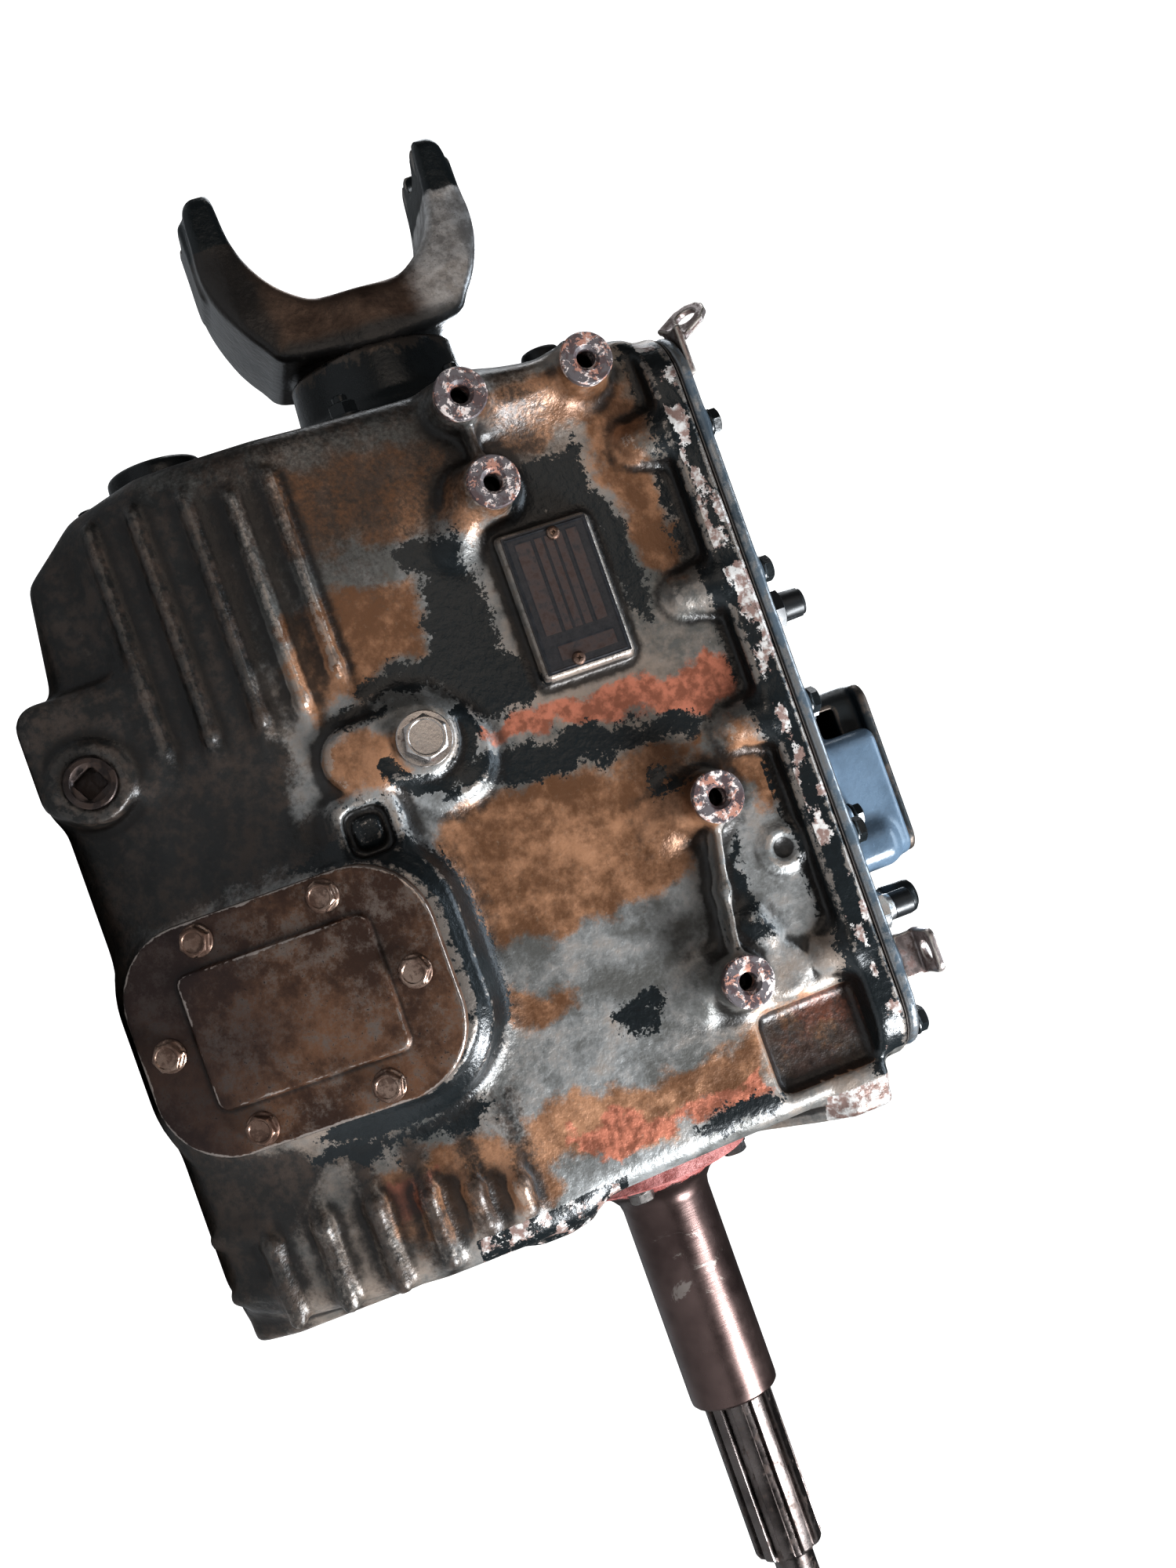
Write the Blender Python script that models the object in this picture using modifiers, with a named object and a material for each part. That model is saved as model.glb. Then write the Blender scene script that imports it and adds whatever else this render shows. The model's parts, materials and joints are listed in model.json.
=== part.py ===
"""A five-speed manual truck transmission as an assembly: a cast case with its covers, and the
constant-mesh gear train, rails and forks that it holds. Lengths in the constants are millimetres,
measured from the main shaft's axis at the case's front face; +X is the input end, +Z the cover side."""

import math

import bmesh
import bpy
from mathutils import Matrix, Vector

MM = 0.001

# ---- driving dimensions (mm) ----
CENTRE = 150.0  # main shaft to countershaft
MODULE = 5.0
ADDENDUM, DEDENDUM = 4.6, 6.2
CASE_REAR, CASE_BOTTOM, DECK = -466.0, -267.0, 142.0
FRONT_WALL, REAR_WALL = -34.0, -434.0
PTO_AT, PTO_TILT = (-166.5, -150.0, -180.0), math.radians(18)
QUILL_END, SPLINE_END, SHAFT_END = 167.0, 275.0, 303.0
YOKE_TIP = -643.0
SHIFT_TRAVEL = 10.0
# The main frame's offset, so that the assembly's box is centred on X and Y and stands on Z = 0.
SHIFT = Vector((170.0, 13.3, 267.0))

# (name, teeth on the main shaft, teeth on the countershaft, gear's front face, gear's rear face, dog side)
STATIONS = (
    ("drive", 24, 36, -40.0, -68.0, -1),
    ("fourth", 27, 33, -122.0, -148.0, 1),
    ("third", 32, 28, -154.0, -182.0, -1),
    ("second", 38, 22, -234.0, -264.0, 1),
    ("first", 44, 16, -272.0, -306.0, -1),
    ("reverse", 38, 16, -358.0, -390.0, 1),
)
IDLER_TEETH = 20
SLEEVES = (("45", -95.0), ("23", -208.0), ("1r", -332.0))
RAIL_Z, RAIL_GAP, RAIL_R = 136.0, 28.0, 8.0
PIVOT = (-175.0, 187.0)

COLOURS = {
    "cast": ((0.34, 0.36, 0.35), 0.55, 0.2),
    "rusted": ((0.33, 0.21, 0.14), 0.6, 0.3),
    "cover": ((0.22, 0.28, 0.33), 0.45, 0.1),
    "black": ((0.02, 0.025, 0.03), 0.4, 0.0),
    "steel": ((0.32, 0.30, 0.29), 0.35, 1.0),
    "gear": ((0.45, 0.44, 0.42), 0.3, 1.0),
    "bronze": ((0.55, 0.40, 0.18), 0.4, 1.0),
    "zinc": ((0.62, 0.63, 0.64), 0.35, 1.0),
    "gasket": ((0.05, 0.05, 0.05), 0.8, 0.0),
    "rubber": ((0.02, 0.02, 0.02), 0.7, 0.0),
    "plate": ((0.20, 0.15, 0.13), 0.4, 0.6),
    "yoke": ((0.30, 0.26, 0.23), 0.45, 0.8),
}

for old in list(bpy.data.objects):
    bpy.data.objects.remove(old, do_unlink=True)

parts = bpy.data.collections.new("manual_transmission")
cutters = bpy.data.collections.new("cutters")
bpy.context.scene.collection.children.link(parts)
bpy.context.scene.collection.children.link(cutters)
cutters.hide_render = True


def material(name, finish):
    colour, rough, metal = COLOURS[finish]
    mat = bpy.data.materials.new(name)
    mat.use_nodes = True
    shader = mat.node_tree.nodes["Principled BSDF"]
    shader.inputs["Base Color"].default_value = (*colour, 1)
    shader.inputs["Roughness"].default_value = rough
    shader.inputs["Metallic"].default_value = metal
    mat.diffuse_color = (*colour, 1)
    return mat


def frame(origin, across, up):
    """A placement whose local X and Y are these world directions, at a point in shaft millimetres."""
    a, b = Vector(across).normalized(), Vector(up).normalized()
    c = a.cross(b)
    at = (Vector(origin) + SHIFT) * MM
    return Matrix(
        ((a.x, b.x, c.x, at.x), (a.y, b.y, c.y, at.y), (a.z, b.z, c.z, at.z), (0, 0, 0, 1))
    )


def along_x(x=0.0, y=0.0, z=0.0):
    return frame((x, y, z), (0, 1, 0), (0, 0, 1))


def along_y(x=0.0, y=0.0, z=0.0):
    """Local X is +X, local Y is +Z, and local Z points at -Y, out of the case's camera side."""
    return frame((x, y, z), (1, 0, 0), (0, 0, 1))


def along_z(x=0.0, y=0.0, z=0.0):
    return frame((x, y, z), (1, 0, 0), (0, 1, 0))


def pto_frame(depth=0.0):
    """On the power-take-off face, with local Z out of it."""
    t = PTO_TILT
    out = Vector((0, -math.cos(t), -math.sin(t)))
    return frame(Vector(PTO_AT) + out * depth, (1, 0, 0), (0, -math.sin(t), math.cos(t)))


def finish_object(obj, matrix, finish, smooth=None):
    for c in list(obj.users_collection):
        c.objects.unlink(obj)
    (parts if finish else cutters).objects.link(obj)
    obj.matrix_world = matrix
    if finish:
        obj.data.materials.append(material(obj.name, finish))
        if smooth:
            obj.data.shade_smooth()
            obj.data.set_sharp_from_angle(angle=math.radians(smooth))
    else:
        obj.hide_render = True
        obj.display_type = "WIRE"
    return obj


def from_bmesh(name, bm, matrix, finish=None, smooth=None):
    mesh = bpy.data.meshes.new(name)
    bm.to_mesh(mesh)
    bm.free()
    return finish_object(bpy.data.objects.new(name, mesh), matrix, finish, smooth)


def box(name, size, matrix, finish=None, bevel=0.0, segments=2):
    bm = bmesh.new()
    bmesh.ops.create_cube(bm, size=1.0)
    bmesh.ops.scale(bm, vec=Vector(size) * MM, verts=bm.verts)
    obj = from_bmesh(name, bm, matrix, finish)
    if bevel:
        m = obj.modifiers.new("edges", "BEVEL")
        m.width, m.segments = bevel * MM, segments
    return obj


def span(name, lo, hi, finish=None, bevel=0.0):
    """A box between two corners in shaft millimetres."""
    lo, hi = Vector(lo), Vector(hi)
    return box(name, hi - lo, along_z(*((lo + hi) / 2)), finish, bevel)


def rod(name, r, lo, hi, matrix, finish=None, segments=24, r2=None, smooth=40):
    """A cylinder or cone on local Z from lo to hi."""
    bm = bmesh.new()
    bmesh.ops.create_cone(
        bm,
        cap_ends=True,
        segments=segments,
        radius1=r * MM,
        radius2=(r if r2 is None else r2) * MM,
        depth=(hi - lo) * MM,
    )
    bmesh.ops.translate(bm, vec=(0, 0, (lo + hi) / 2 * MM), verts=bm.verts)
    return from_bmesh(name, bm, matrix, finish, smooth if finish else None)


def hexagon(name, across, lo, hi, matrix, finish=None):
    return rod(name, across / math.sqrt(3), lo, hi, matrix, finish, 6, smooth=None)


def turned(name, profile, matrix, finish=None, steps=32, smooth=40):
    """A closed or axis-ended profile of (along, radius) pairs turned about local Z with a Screw.

    The list runs from the far end of the outer side towards the near end. A profile that starts and ends
    on the axis makes a solid piece; any other is closed into a ring."""
    bm = bmesh.new()
    verts = [bm.verts.new((r * MM, 0, a * MM)) for a, r in profile]
    edges = list(zip(verts[:-1], verts[1:]))
    if profile[0][1] > 0 or profile[-1][1] > 0:
        edges.append((verts[-1], verts[0]))
    for a, b in edges:
        bm.edges.new((a, b))
    obj = from_bmesh(name, bm, matrix, finish)
    m = obj.modifiers.new("turn", "SCREW")
    m.axis, m.angle, m.screw_offset = "Z", math.tau, 0
    m.steps = m.render_steps = steps
    m.use_merge_vertices, m.merge_threshold = True, 0.00001
    m.use_smooth_shade = bool(smooth)
    return obj


def plate(name, loops, lo, hi, matrix, finish=None, smooth=None):
    """A flat outline with holes, extruded on local Z from lo to hi. Each loop is a list of (x, y) mm."""
    curve = bpy.data.curves.new(name, "CURVE")
    curve.dimensions, curve.fill_mode = "2D", "BOTH"
    curve.extrude = (hi - lo) / 2 * MM
    for loop in loops:
        spline = curve.splines.new("POLY")
        spline.points.add(len(loop) - 1)
        for point, (x, y) in zip(spline.points, loop):
            point.co = (x * MM, y * MM, 0, 1)
        spline.use_cyclic_u = True
    drawn = bpy.data.objects.new(name + "_outline", curve)
    bpy.context.scene.collection.objects.link(drawn)
    bpy.context.view_layer.update()
    graph = bpy.context.evaluated_depsgraph_get()
    mesh = bpy.data.meshes.new_from_object(drawn.evaluated_get(graph))
    bpy.data.objects.remove(drawn, do_unlink=True)
    bm = bmesh.new()
    bm.from_mesh(mesh)
    bmesh.ops.remove_doubles(bm, verts=bm.verts, dist=0.000005)
    bmesh.ops.translate(bm, vec=(0, 0, (lo + hi) / 2 * MM), verts=bm.verts)
    bmesh.ops.recalc_face_normals(bm, faces=bm.faces)
    bm.to_mesh(mesh)
    bm.free()
    mesh.name = name
    return finish_object(bpy.data.objects.new(name, mesh), matrix, finish, smooth)


def boolean(obj, other, operation="DIFFERENCE", solver="EXACT"):
    m = obj.modifiers.new(other.name, "BOOLEAN")
    m.operation, m.solver, m.object = operation, solver, other
    return obj


def baked(obj):
    """The object with its modifiers applied, so that a long chain stays quick."""
    bpy.context.view_layer.update()
    graph = bpy.context.evaluated_depsgraph_get()
    mesh = bpy.data.meshes.new_from_object(obj.evaluated_get(graph))
    obj.modifiers.clear()
    obj.data = mesh
    return obj


# ---- outlines ----


def ring(r, n, cx=0.0, cy=0.0, start=0.0):
    return [
        (
            cx + r * math.cos(start + math.tau * i / n),
            cy + r * math.sin(start + math.tau * i / n),
        )
        for i in range(n)
    ]


def arc(cx, cy, r, a0, a1, n):
    return [
        (
            cx + r * math.cos(math.radians(a0 + (a1 - a0) * i / n)),
            cy + r * math.sin(math.radians(a0 + (a1 - a0) * i / n)),
        )
        for i in range(n + 1)
    ]


def rounded(w, h, r, n=4, cx=0.0, cy=0.0):
    out = []
    for sx, sy, a in ((1, 1, 0), (-1, 1, 90), (-1, -1, 180), (1, -1, 270)):
        out += arc(cx + sx * (w / 2 - r), cy + sy * (h / 2 - r), r, a, a + 90, n)
    return out


def stadium(x0, y0, x1, y1, r, n=8):
    a = math.degrees(math.atan2(y1 - y0, x1 - x0))
    return arc(x0, y0, r, a + 90, a + 270, n) + arc(x1, y1, r, a - 90, a + 90, n)


def gear_outline(teeth, phase, backlash=0.44):
    """Four points a tooth. phase is the angle of one tooth's centre, in radians."""
    pitch_r = MODULE * teeth / 2
    step = math.tau / teeth
    half = step * backlash / 2  # half a tooth's thickness at the pitch circle, as an angle
    tip, root = pitch_r + ADDENDUM, pitch_r - DEDENDUM
    slope = math.tan(math.radians(21.0))
    out = []
    for i in range(teeth):
        c = phase + i * step
        at_root = half + DEDENDUM * slope / root
        at_tip = half - ADDENDUM * slope / tip
        for r, a in ((root, -at_root), (tip, -at_tip), (tip, at_tip), (root, at_root)):
            out.append((r * math.cos(c + a), r * math.sin(c + a)))
    return out


def wall_y(z):
    """The camera-side wall's distance from the mid plane at this height."""
    points = (
        (-267, 86), (-255, 104), (-215, 123), (-150, 140), (-100, 144), (-60, 139),
        (20, 134), (118, 131),
    )
    for (z0, y0), (z1, y1) in zip(points, points[1:]):
        if z <= z1:
            return y0 + (y1 - y0) * (z - z0) / (z1 - z0)
    return points[-1][1]


# ---- main case ----

NEAR_WALL = [(-wall_y(z), z) for z in (129, 20, -60, -100, -150, -215, -255, -267)]
FAR_WALL = [(86, -267), (106, -255), (127, -215), (148, -150), (152, -112), (147, -70), (137, -20), (131, 129)]
SIDE = [
    (-466, 130), (-466, -166), (-456, -205), (-431, -238), (-366, -247), (-353, -264),
    (-346, -267), (-32, -267), (-15, -259), (-5, -226), (-1, -150), (-1, -64), (-8, -50), (-8, 130),
]

case = plate("main_case", [NEAR_WALL + FAR_WALL], -470, 6, along_x(), "cast")
boolean(case, plate("side_outline", [SIDE], -200, 200, along_y()), "INTERSECT")
baked(case)


def add(piece):
    boolean(case, piece, "UNION")
    baked(case)


def cut(piece):
    boolean(case, piece, "DIFFERENCE")
    baked(case)


# Deck flange with the cover's bolt bosses hanging under it.
DECK_OUT = rounded(444, 286, 34, 5, -240, 0)
add(plate("deck_band", [DECK_OUT], 122, DECK, along_z()))
for i, x in enumerate((-402, -311, -230, -90)):
    for y in (-129, 129):
        add(rod(f"deck_boss_{i}_{y}", 15, 96 - 4 * (i == 3), 124, along_z(x, y), segments=10, r2=17))

# Front flange that bolts to the clutch housing: a plate with four lugs.
FRONT = [
    (-84, -262), (-98, -236), (-104, -170), (-100, -140), (-92, -124), (-104, -108), (-124, -96),
    (-125, -76), (-116, -60), (-80, -44), (-72, 60), (-112, 80), (-132, 98), (-132, 122),
    (132, 122), (132, 98), (112, 80), (72, 60), (80, -44), (116, -60), (125, -76), (124, -96),
    (104, -108), (92, -124), (100, -140), (104, -170), (98, -236), (84, -262),
]
add(plate("front_flange", [FRONT], -20, 4, along_x()))

# Side bosses and their webs.
BOSSES = {"a": (-450, 88), "b": (-451, 14), "c": (-400, 15), "d": (-197, 75), "e": (-95.5, 56)}
for key, (x, z) in BOSSES.items():
    add(rod(f"boss_{key}", 17.5, 110, 160, along_y(x, 0, z), segments=14, r2=15))
add(span("web_ab", (-459, -146, 14), (-443, -118, 88)))
add(plate("web_bc", [stadium(-451, 14, -400, 15, 3, 2)], 118, 152, along_y()))
add(plate("web_de", [stadium(-197, 75, -95.5, 56, 3, 2)], 118, 150, along_y()))

# Ribs along the lower rear and the lower front of the side wall.
for i, (z, x0, x1) in enumerate(
    ((-198, -448, -300), (-173, -449, -299), (-145, -447, -298), (-121, -440, -300), (-98, -445, -313))
):
    y = wall_y(z)
    add(span(f"rear_rib_{i}", (x0, -y - 6, z - 2.5), (x1, -y + 14, z + 2.5)))
for i, (z, x0) in enumerate(((-232, -72), (-203, -74), (-174, -74), (-146, -72), (-124, -62), (-100, -56))):
    y = wall_y(z)
    add(span(f"front_rib_{i}", (x0, -y - 5, z - 3), (-14, -y + 20, z + 3)))

# Pads: power take-off, fill plug, drain corner, nameplate.
add(plate("pto_pad", [rounded(130, 178, 42, 5, 0, -0.5)], -60, -10, pto_frame()))
add(plate("pto_pad_far", [rounded(118, 150, 34, 4, 0, 0)], -20, 154, frame((-166.5, 0, -172), (-1, 0, 0), (0, 0, 1))))
add(plate("fill_pad", [stadium(-283, -104, -279, -68, 19)], 110, 150, along_y()))
add(plate("drain_pad", [rounded(44, 62, 12, 3, -331, -236)], 88, 128, along_y()))
add(rod("drain_face", 22, 90, 131, along_y(-316, 0, -239), segments=20))
add(span("nameplate_pad", (-372, -144, 9), (-288.5, -125, 62.5)))
add(plate("core_pocket", [rounded(28, 24, 7, 3, -243, -111)], 120, 148, along_y()))

# Inner space, then the openings and bores.
INNER = [
    (-122, 111), (-122, 20), (-127, -60), (-131, -100), (-128, -150), (-111, -215), (-94, -250), (-80, -257),
    (80, -257), (96, -250), (117, -215), (138, -150), (142.5, -112), (138, -70), (127, -20), (122, 111),
]
INNER_SIDE = [
    (REAR_WALL, 140), (REAR_WALL, -178), (-425, -198), (-408, -222), (-358, -236), (-342, -257), (-330, -300),
    (FRONT_WALL, -300), (FRONT_WALL, 140),
]
space = plate("inner_space", [INNER], REAR_WALL - 20, FRONT_WALL + 20, along_x())
boolean(space, plate("inner_side", [INNER_SIDE], -200, 200, along_y()), "INTERSECT")
baked(space)
cut(space)
cut(plate("deck_opening", [rounded(376, 212, 18, 3, -233, 0)], 108, 170, along_z()))
cut(rod("input_bore", 60.4, FRONT_WALL - 5, 10, along_x(), segments=36))
cut(rod("output_bore", 55.4, -475, REAR_WALL + 5, along_x(), segments=32))
cut(rod("counter_front_bore", 42.4, FRONT_WALL - 5, -9, along_x(z=-CENTRE), segments=20))
cut(rod("counter_rear_bore", 42.4, -475, REAR_WALL + 5, along_x(z=-CENTRE), segments=20))
IDLER_Y, IDLER_Z = 84.2, -118.1
cut(rod("idler_bore", 12.4, -460, REAR_WALL + 5, along_x(0, IDLER_Y, IDLER_Z), segments=14))
cut(plate("pto_opening", [rounded(92, 112, 18, 3)], -70, 5, pto_frame()))
for key, (x, z) in BOSSES.items():
    cut(rod(f"boss_hole_{key}", 5.2, 132, 165, along_y(x, 0, z), segments=12))
for i, (y, z) in enumerate(((-108, -86), (108, -86), (-116, 108), (116, 108))):
    cut(rod(f"lug_hole_{i}", 6.6, -30, 10, along_x(0, y, z), segments=14))
FILL_AT, DRAIN_AT = (-280.0, -67.0), (-316.0, -239.0)
cut(rod("fill_hole", 9.2, 130, 160, along_y(FILL_AT[0], 0, FILL_AT[1]), segments=16))
cut(rod("drain_hole", 13.0, 112, 140, along_y(DRAIN_AT[0], 0, DRAIN_AT[1]), segments=20))
PTO_BOLTS = [(-52.4, -36.4), (-52.4, 35.6), (0.4, 69.0), (52.4, 35.6), (52.4, -36.4), (0.4, -71.0)]
for i, (x, y) in enumerate(PTO_BOLTS):
    m = pto_frame() @ Matrix.Translation((x * MM, y * MM, 0))
    cut(rod(f"pto_tap_{i}", 5.3, -34, -5, m, segments=10))
case.data.materials.clear()
case.data.materials.append(material("main_case", "cast"))

# ---- power take-off cover, gasket and bolts ----
pto_outline = rounded(128, 175, 41, 5, 0, -0.5)
pto_holes = [ring(5.2, 10, x, y) for x, y in PTO_BOLTS]
pto_gasket = plate("pto_gasket", [rounded(126, 173, 40, 5, 0, -0.5), rounded(92, 112, 18, 3), *pto_holes], -9.7, -9.1, pto_frame(), "gasket")
pto_cover = plate("pto_cover", [pto_outline, *pto_holes], -8.8, 0, pto_frame(), "rusted")
boolean(pto_cover, plate("pto_panel", [rounded(74, 108, 5, 2)], -4, 3, pto_frame()), "UNION")
baked(pto_cover)
for i, (x, y) in enumerate(PTO_BOLTS):
    m = pto_frame() @ Matrix.Translation((x * MM, y * MM, 0))
    bolt = hexagon(f"pto_bolt_{i + 1}", 14.3, 0.3, 7.0, m, "steel")
    boolean(bolt, rod(f"pto_bolt_shank_{i}", 4.4, -28, 3, m, segments=10), "UNION")
    boolean(bolt, rod(f"pto_bolt_flange_{i}", 9.2, 0.3, 1.7, m, segments=16), "UNION")
    baked(bolt)

# ---- top cover, gasket, shift housing ----
plate("top_cover_gasket", [rounded(440, 282, 32, 5, -240, 0), rounded(380, 216, 20, 3, -233, 0)], DECK + 0.2, DECK + 0.9, along_z(), "gasket")
cover = plate("top_cover", [rounded(440, 282, 32, 5, -240, 0)], DECK + 1.2, 151, along_z(), "cover")
boolean(cover, plate("cover_crown", [rounded(392, 204, 22, 3, -236, 0)], 147, 158, along_z()), "UNION")
boolean(cover, plate("cover_top", [rounded(376, 156, 22, 3, -236, 0)], 155, 170, along_z()), "UNION")
baked(cover)
boolean(cover, plate("cover_space_low", [rounded(384, 188, 18, 3, -236, 0)], 140, 152, along_z()))
boolean(cover, plate("cover_space_high", [rounded(358, 138, 16, 3, -236, 0)], 149, 164, along_z()))
baked(cover)
for x in (-70, -390):
    boolean(cover, span(f"rail_web_{x}", (x - 6, -46, 118), (x + 6, 46, 166)), "UNION")
baked(cover)
for x in (-70, -390):
    for n in (-1, 0, 1):
        boolean(cover, rod(f"rail_hole_{x}_{n}", RAIL_R + 0.6, x - 9, x + 9, along_x(0, n * RAIL_GAP, RAIL_Z), segments=16))
boolean(cover, plate("lever_opening", [rounded(92, 88, 10, 3, PIVOT[0], 0)], 140, 175, along_z()))
baked(cover)

housing = plate("shift_housing", [rounded(116, 124, 14, 4, -174.5, 0)], 170.3, 205, along_z(), "cover")
boolean(housing, rod("housing_barrel", 18, -64, 66, frame((-150, 0, 189), (0, 0, 1), (1, 0, 0)), segments=24), "UNION")
boolean(housing, plate("housing_turret", [rounded(72, 60, 16, 3, -190, 6)], 190, 231, along_z()), "UNION")
baked(housing)
boolean(housing, plate("housing_space", [rounded(94, 92, 8, 3, PIVOT[0], 0)], 160, 199, along_z()))
boolean(housing, rod("pivot_hole", 8.7, -54, 54, frame((PIVOT[0], 0, PIVOT[1]), (0, 0, 1), (1, 0, 0)), segments=20))
baked(housing)

# Finger on its cross shaft; it swings in the centre rail's jaw. Its origin is on the cross shaft.
cross = frame((PIVOT[0], 0, PIVOT[1]), (0, 0, 1), (1, 0, 0))
finger_shaft = rod("selector_shaft", 8.0, -52, 52, cross, "steel", segments=20)
finger = rod("shift_finger", 11.2, -9, 9, cross, "steel", segments=20)
boolean(finger, plate("finger_blade", [[(-10, -7), (-10, 7), (-24, 3.0), (-40, 3.0), (-40, -3.0), (-24, -3.0)]], -5, 5, cross), "UNION")
boolean(finger, rod("finger_tip", 5.2, -5, 5, frame((PIVOT[0], 0, PIVOT[1] - 40), (0, 0, 1), (1, 0, 0)), segments=16), "UNION")
boolean(finger, rod("finger_bore", 8.5, -12, 12, cross, segments=20))
baked(finger)

# Rails with their forks. Each pair moves as one.
for n, (key, x) in zip((-1, 0, 1), SLEEVES):
    y = n * RAIL_GAP
    rail = rod(f"shift_rail_{key}", RAIL_R, -405, -58, along_x(0, y, RAIL_Z), "steel", segments=16)
    jaw = span(f"rail_jaw_{key}", (-191, y - 8.5, RAIL_Z - 4), (-159, y + 8.5, 158))
    boolean(rail, jaw, "UNION")
    boolean(rail, span(f"rail_notch_{key}", (-181.2, y - 12, 141.0), (-168.8, y + 12, 162)))
    baked(rail)
    arms = arc(0, 0, 67, -8, 188, 16) + arc(0, 0, 52.6, 188, -8, 16)
    fork = plate(f"shift_fork_{key}", [arms], -3.6, 3.6, along_x(x), "gear")
    boolean(fork, plate(f"fork_stem_{key}", [[(-15, 60), (15, 60), (y + 11, RAIL_Z), (y - 11, RAIL_Z)]], -3.6, 3.6, along_x(x)), "UNION")
    boolean(fork, rod(f"fork_hub_{key}", 13, -9, 9, along_x(x, y, RAIL_Z), segments=20), "UNION")
    boolean(fork, rod(f"fork_bore_{key}", RAIL_R + 0.35, -14, 14, along_x(x, y, RAIL_Z), segments=16))
    baked(fork)

# ---- gear train ----
IDLER_FROM_COUNTER = math.atan2(IDLER_Z + CENTRE, IDLER_Y)
IDLER_FROM_MAIN = math.atan2(IDLER_Z, IDLER_Y)
UP, DOWN = math.pi / 2, -math.pi / 2
# Phases: a tooth on the main gear points down at a gap on the counter gear.
idler_phase = IDLER_FROM_COUNTER + math.pi
counter_reverse_phase = IDLER_FROM_COUNTER + math.pi / 16
reverse_phase = IDLER_FROM_MAIN
idler_tooth = (IDLER_FROM_MAIN + math.pi - idler_phase) / (math.tau / IDLER_TEETH)
reverse_phase += (idler_tooth - math.floor(idler_tooth)) * (math.tau / IDLER_TEETH) * IDLER_TEETH / 38 + math.pi / 38

BORE = 30.9
bodies = {}
for name, main, counter, front, rear, side in STATIONS:
    mid = (front + rear) / 2
    half = (front - rear) / 2
    phase = DOWN if name != "reverse" else reverse_phase
    if name != "drive":
        gear = plate(f"{name}_gear", [gear_outline(main, phase), ring(BORE, 18)], -half, half, along_x(mid), "gear")
        # The dog drum that the sleeve slides over.
        drum = plate(f"{name}_drum", [ring(43.6, 20), ring(BORE, 18)], half - 3 if side > 0 else -half - 8, half + 8 if side > 0 else -half + 3, along_x(mid))
        boolean(gear, drum, "UNION")
        baked(gear)
    phase = UP + math.pi / counter if name != "reverse" else counter_reverse_phase
    outline = gear_outline(counter, phase)
    if name in ("drive", "fourth", "third"):
        title = {"drive": "counter_drive_gear", "fourth": "counter_fourth_gear", "third": "counter_third_gear"}[name]
        plate(title, [outline, ring(26.7, 16)], -half, half, along_x(mid, 0, -CENTRE), "gear")
    else:
        bodies[name] = (outline, half, mid)

counter = turned(
    "countershaft",
    [(-12.5, 0), (-12.5, 19.6), (-36, 19.6), (-36, 26), (-200, 26), (-200, 30), (-436, 30), (-436, 19.6), (-462, 19.6), (-462, 0)],
    along_x(0, 0, -CENTRE), "gear", 16,
)
for name, (outline, half, mid) in bodies.items():
    boolean(counter, plate(f"counter_{name}_teeth", [outline], -half, half, along_x(mid, 0, -CENTRE)), "UNION")
baked(counter)

idler = plate("reverse_idler_gear", [gear_outline(IDLER_TEETH, idler_phase, 0.40), ring(12.9, 20)], -16, 16, along_x(-374, IDLER_Y, IDLER_Z), "gear")
rod("reverse_idler_shaft", 12.0, -459, -342, along_x(0, IDLER_Y, IDLER_Z), "steel", segments=20)

# Input shaft: spline, pilot nose, drive gear and the pocket for the pilot bearing.
spline_outline = []
for i in range(10):
    c = math.tau * i / 10 + 0.31
    for r, a in ((18.4, -0.21), (22.2, -0.155), (22.2, 0.155), (18.4, 0.21)):
        spline_outline.append((r * math.cos(c + a), r * math.sin(c + a)))
input_shaft = turned(
    "input_shaft",
    [
        (SHAFT_END, 0), (SHAFT_END, 11.5), (SHAFT_END - 3, 13), (SPLINE_END, 13), (SPLINE_END - 2, 17.8), (160, 17.8), (158, 20),
        (2, 20), (2, 29.6), (-36, 29.6), (-36, 43.6), (-76, 43.6), (-76, 21.8), (-44, 21.8), (-44, 0),
    ],
    along_x(), "steel", 22,
)
boolean(input_shaft, plate("spline", [spline_outline], 163, SPLINE_END - 4, along_x()), "UNION")
boolean(input_shaft, plate("drive_teeth", [gear_outline(24, DOWN), ring(34, 16)], -68, -40, along_x()), "UNION")
baked(input_shaft)

output_shaft = turned(
    "output_shaft",
    [
        (-47, 0), (-47, 13), (-77, 13), (-77.6, 30), (-431, 30), (-431, 31.6), (-470, 31.6), (-472, 24), (-551, 24), (-553, 22.5), (-553, 0),
    ],
    along_x(), "steel", 20,
)


def sleeve_ring(name, r_in, r_out, lo, hi, x, finish, segments=24):
    return plate(name, [ring(r_out, segments), ring(r_in, segments)], lo, hi, along_x(x), finish)


for key, x in SLEEVES:
    sleeve_ring(f"clutch_hub_{key}", 30.5, 43.6, -13, 13, x, "gear")
    turned(
        f"shift_sleeve_{key}",
        [(15, 58), (4.4, 58), (4.4, 51.8), (-4.4, 51.8), (-4.4, 58), (-15, 58), (-15, 44.9), (15, 44.9)],
        along_x(x), "gear", 24,
    )

# Bearings and seals.
sleeve_ring("pilot_bearing", 13.4, 21.0, -9, 9, -58, "steel", 16)
sleeve_ring("input_bearing", 30.1, 59.9, -13, 13, -19, "steel", 28)
sleeve_ring("output_bearing", 32.0, 54.9, -14, 14, -449, "steel", 28)
plate("counter_front_bearing", [ring(41.7, 20), ring(20.2, 16)], -9.5, 9.5, along_x(-24, 0, -CENTRE), "steel")
plate("counter_rear_bearing", [ring(41.7, 20), ring(20.2, 16)], -9.5, 9.5, along_x(-450, 0, -CENTRE), "steel")

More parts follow.
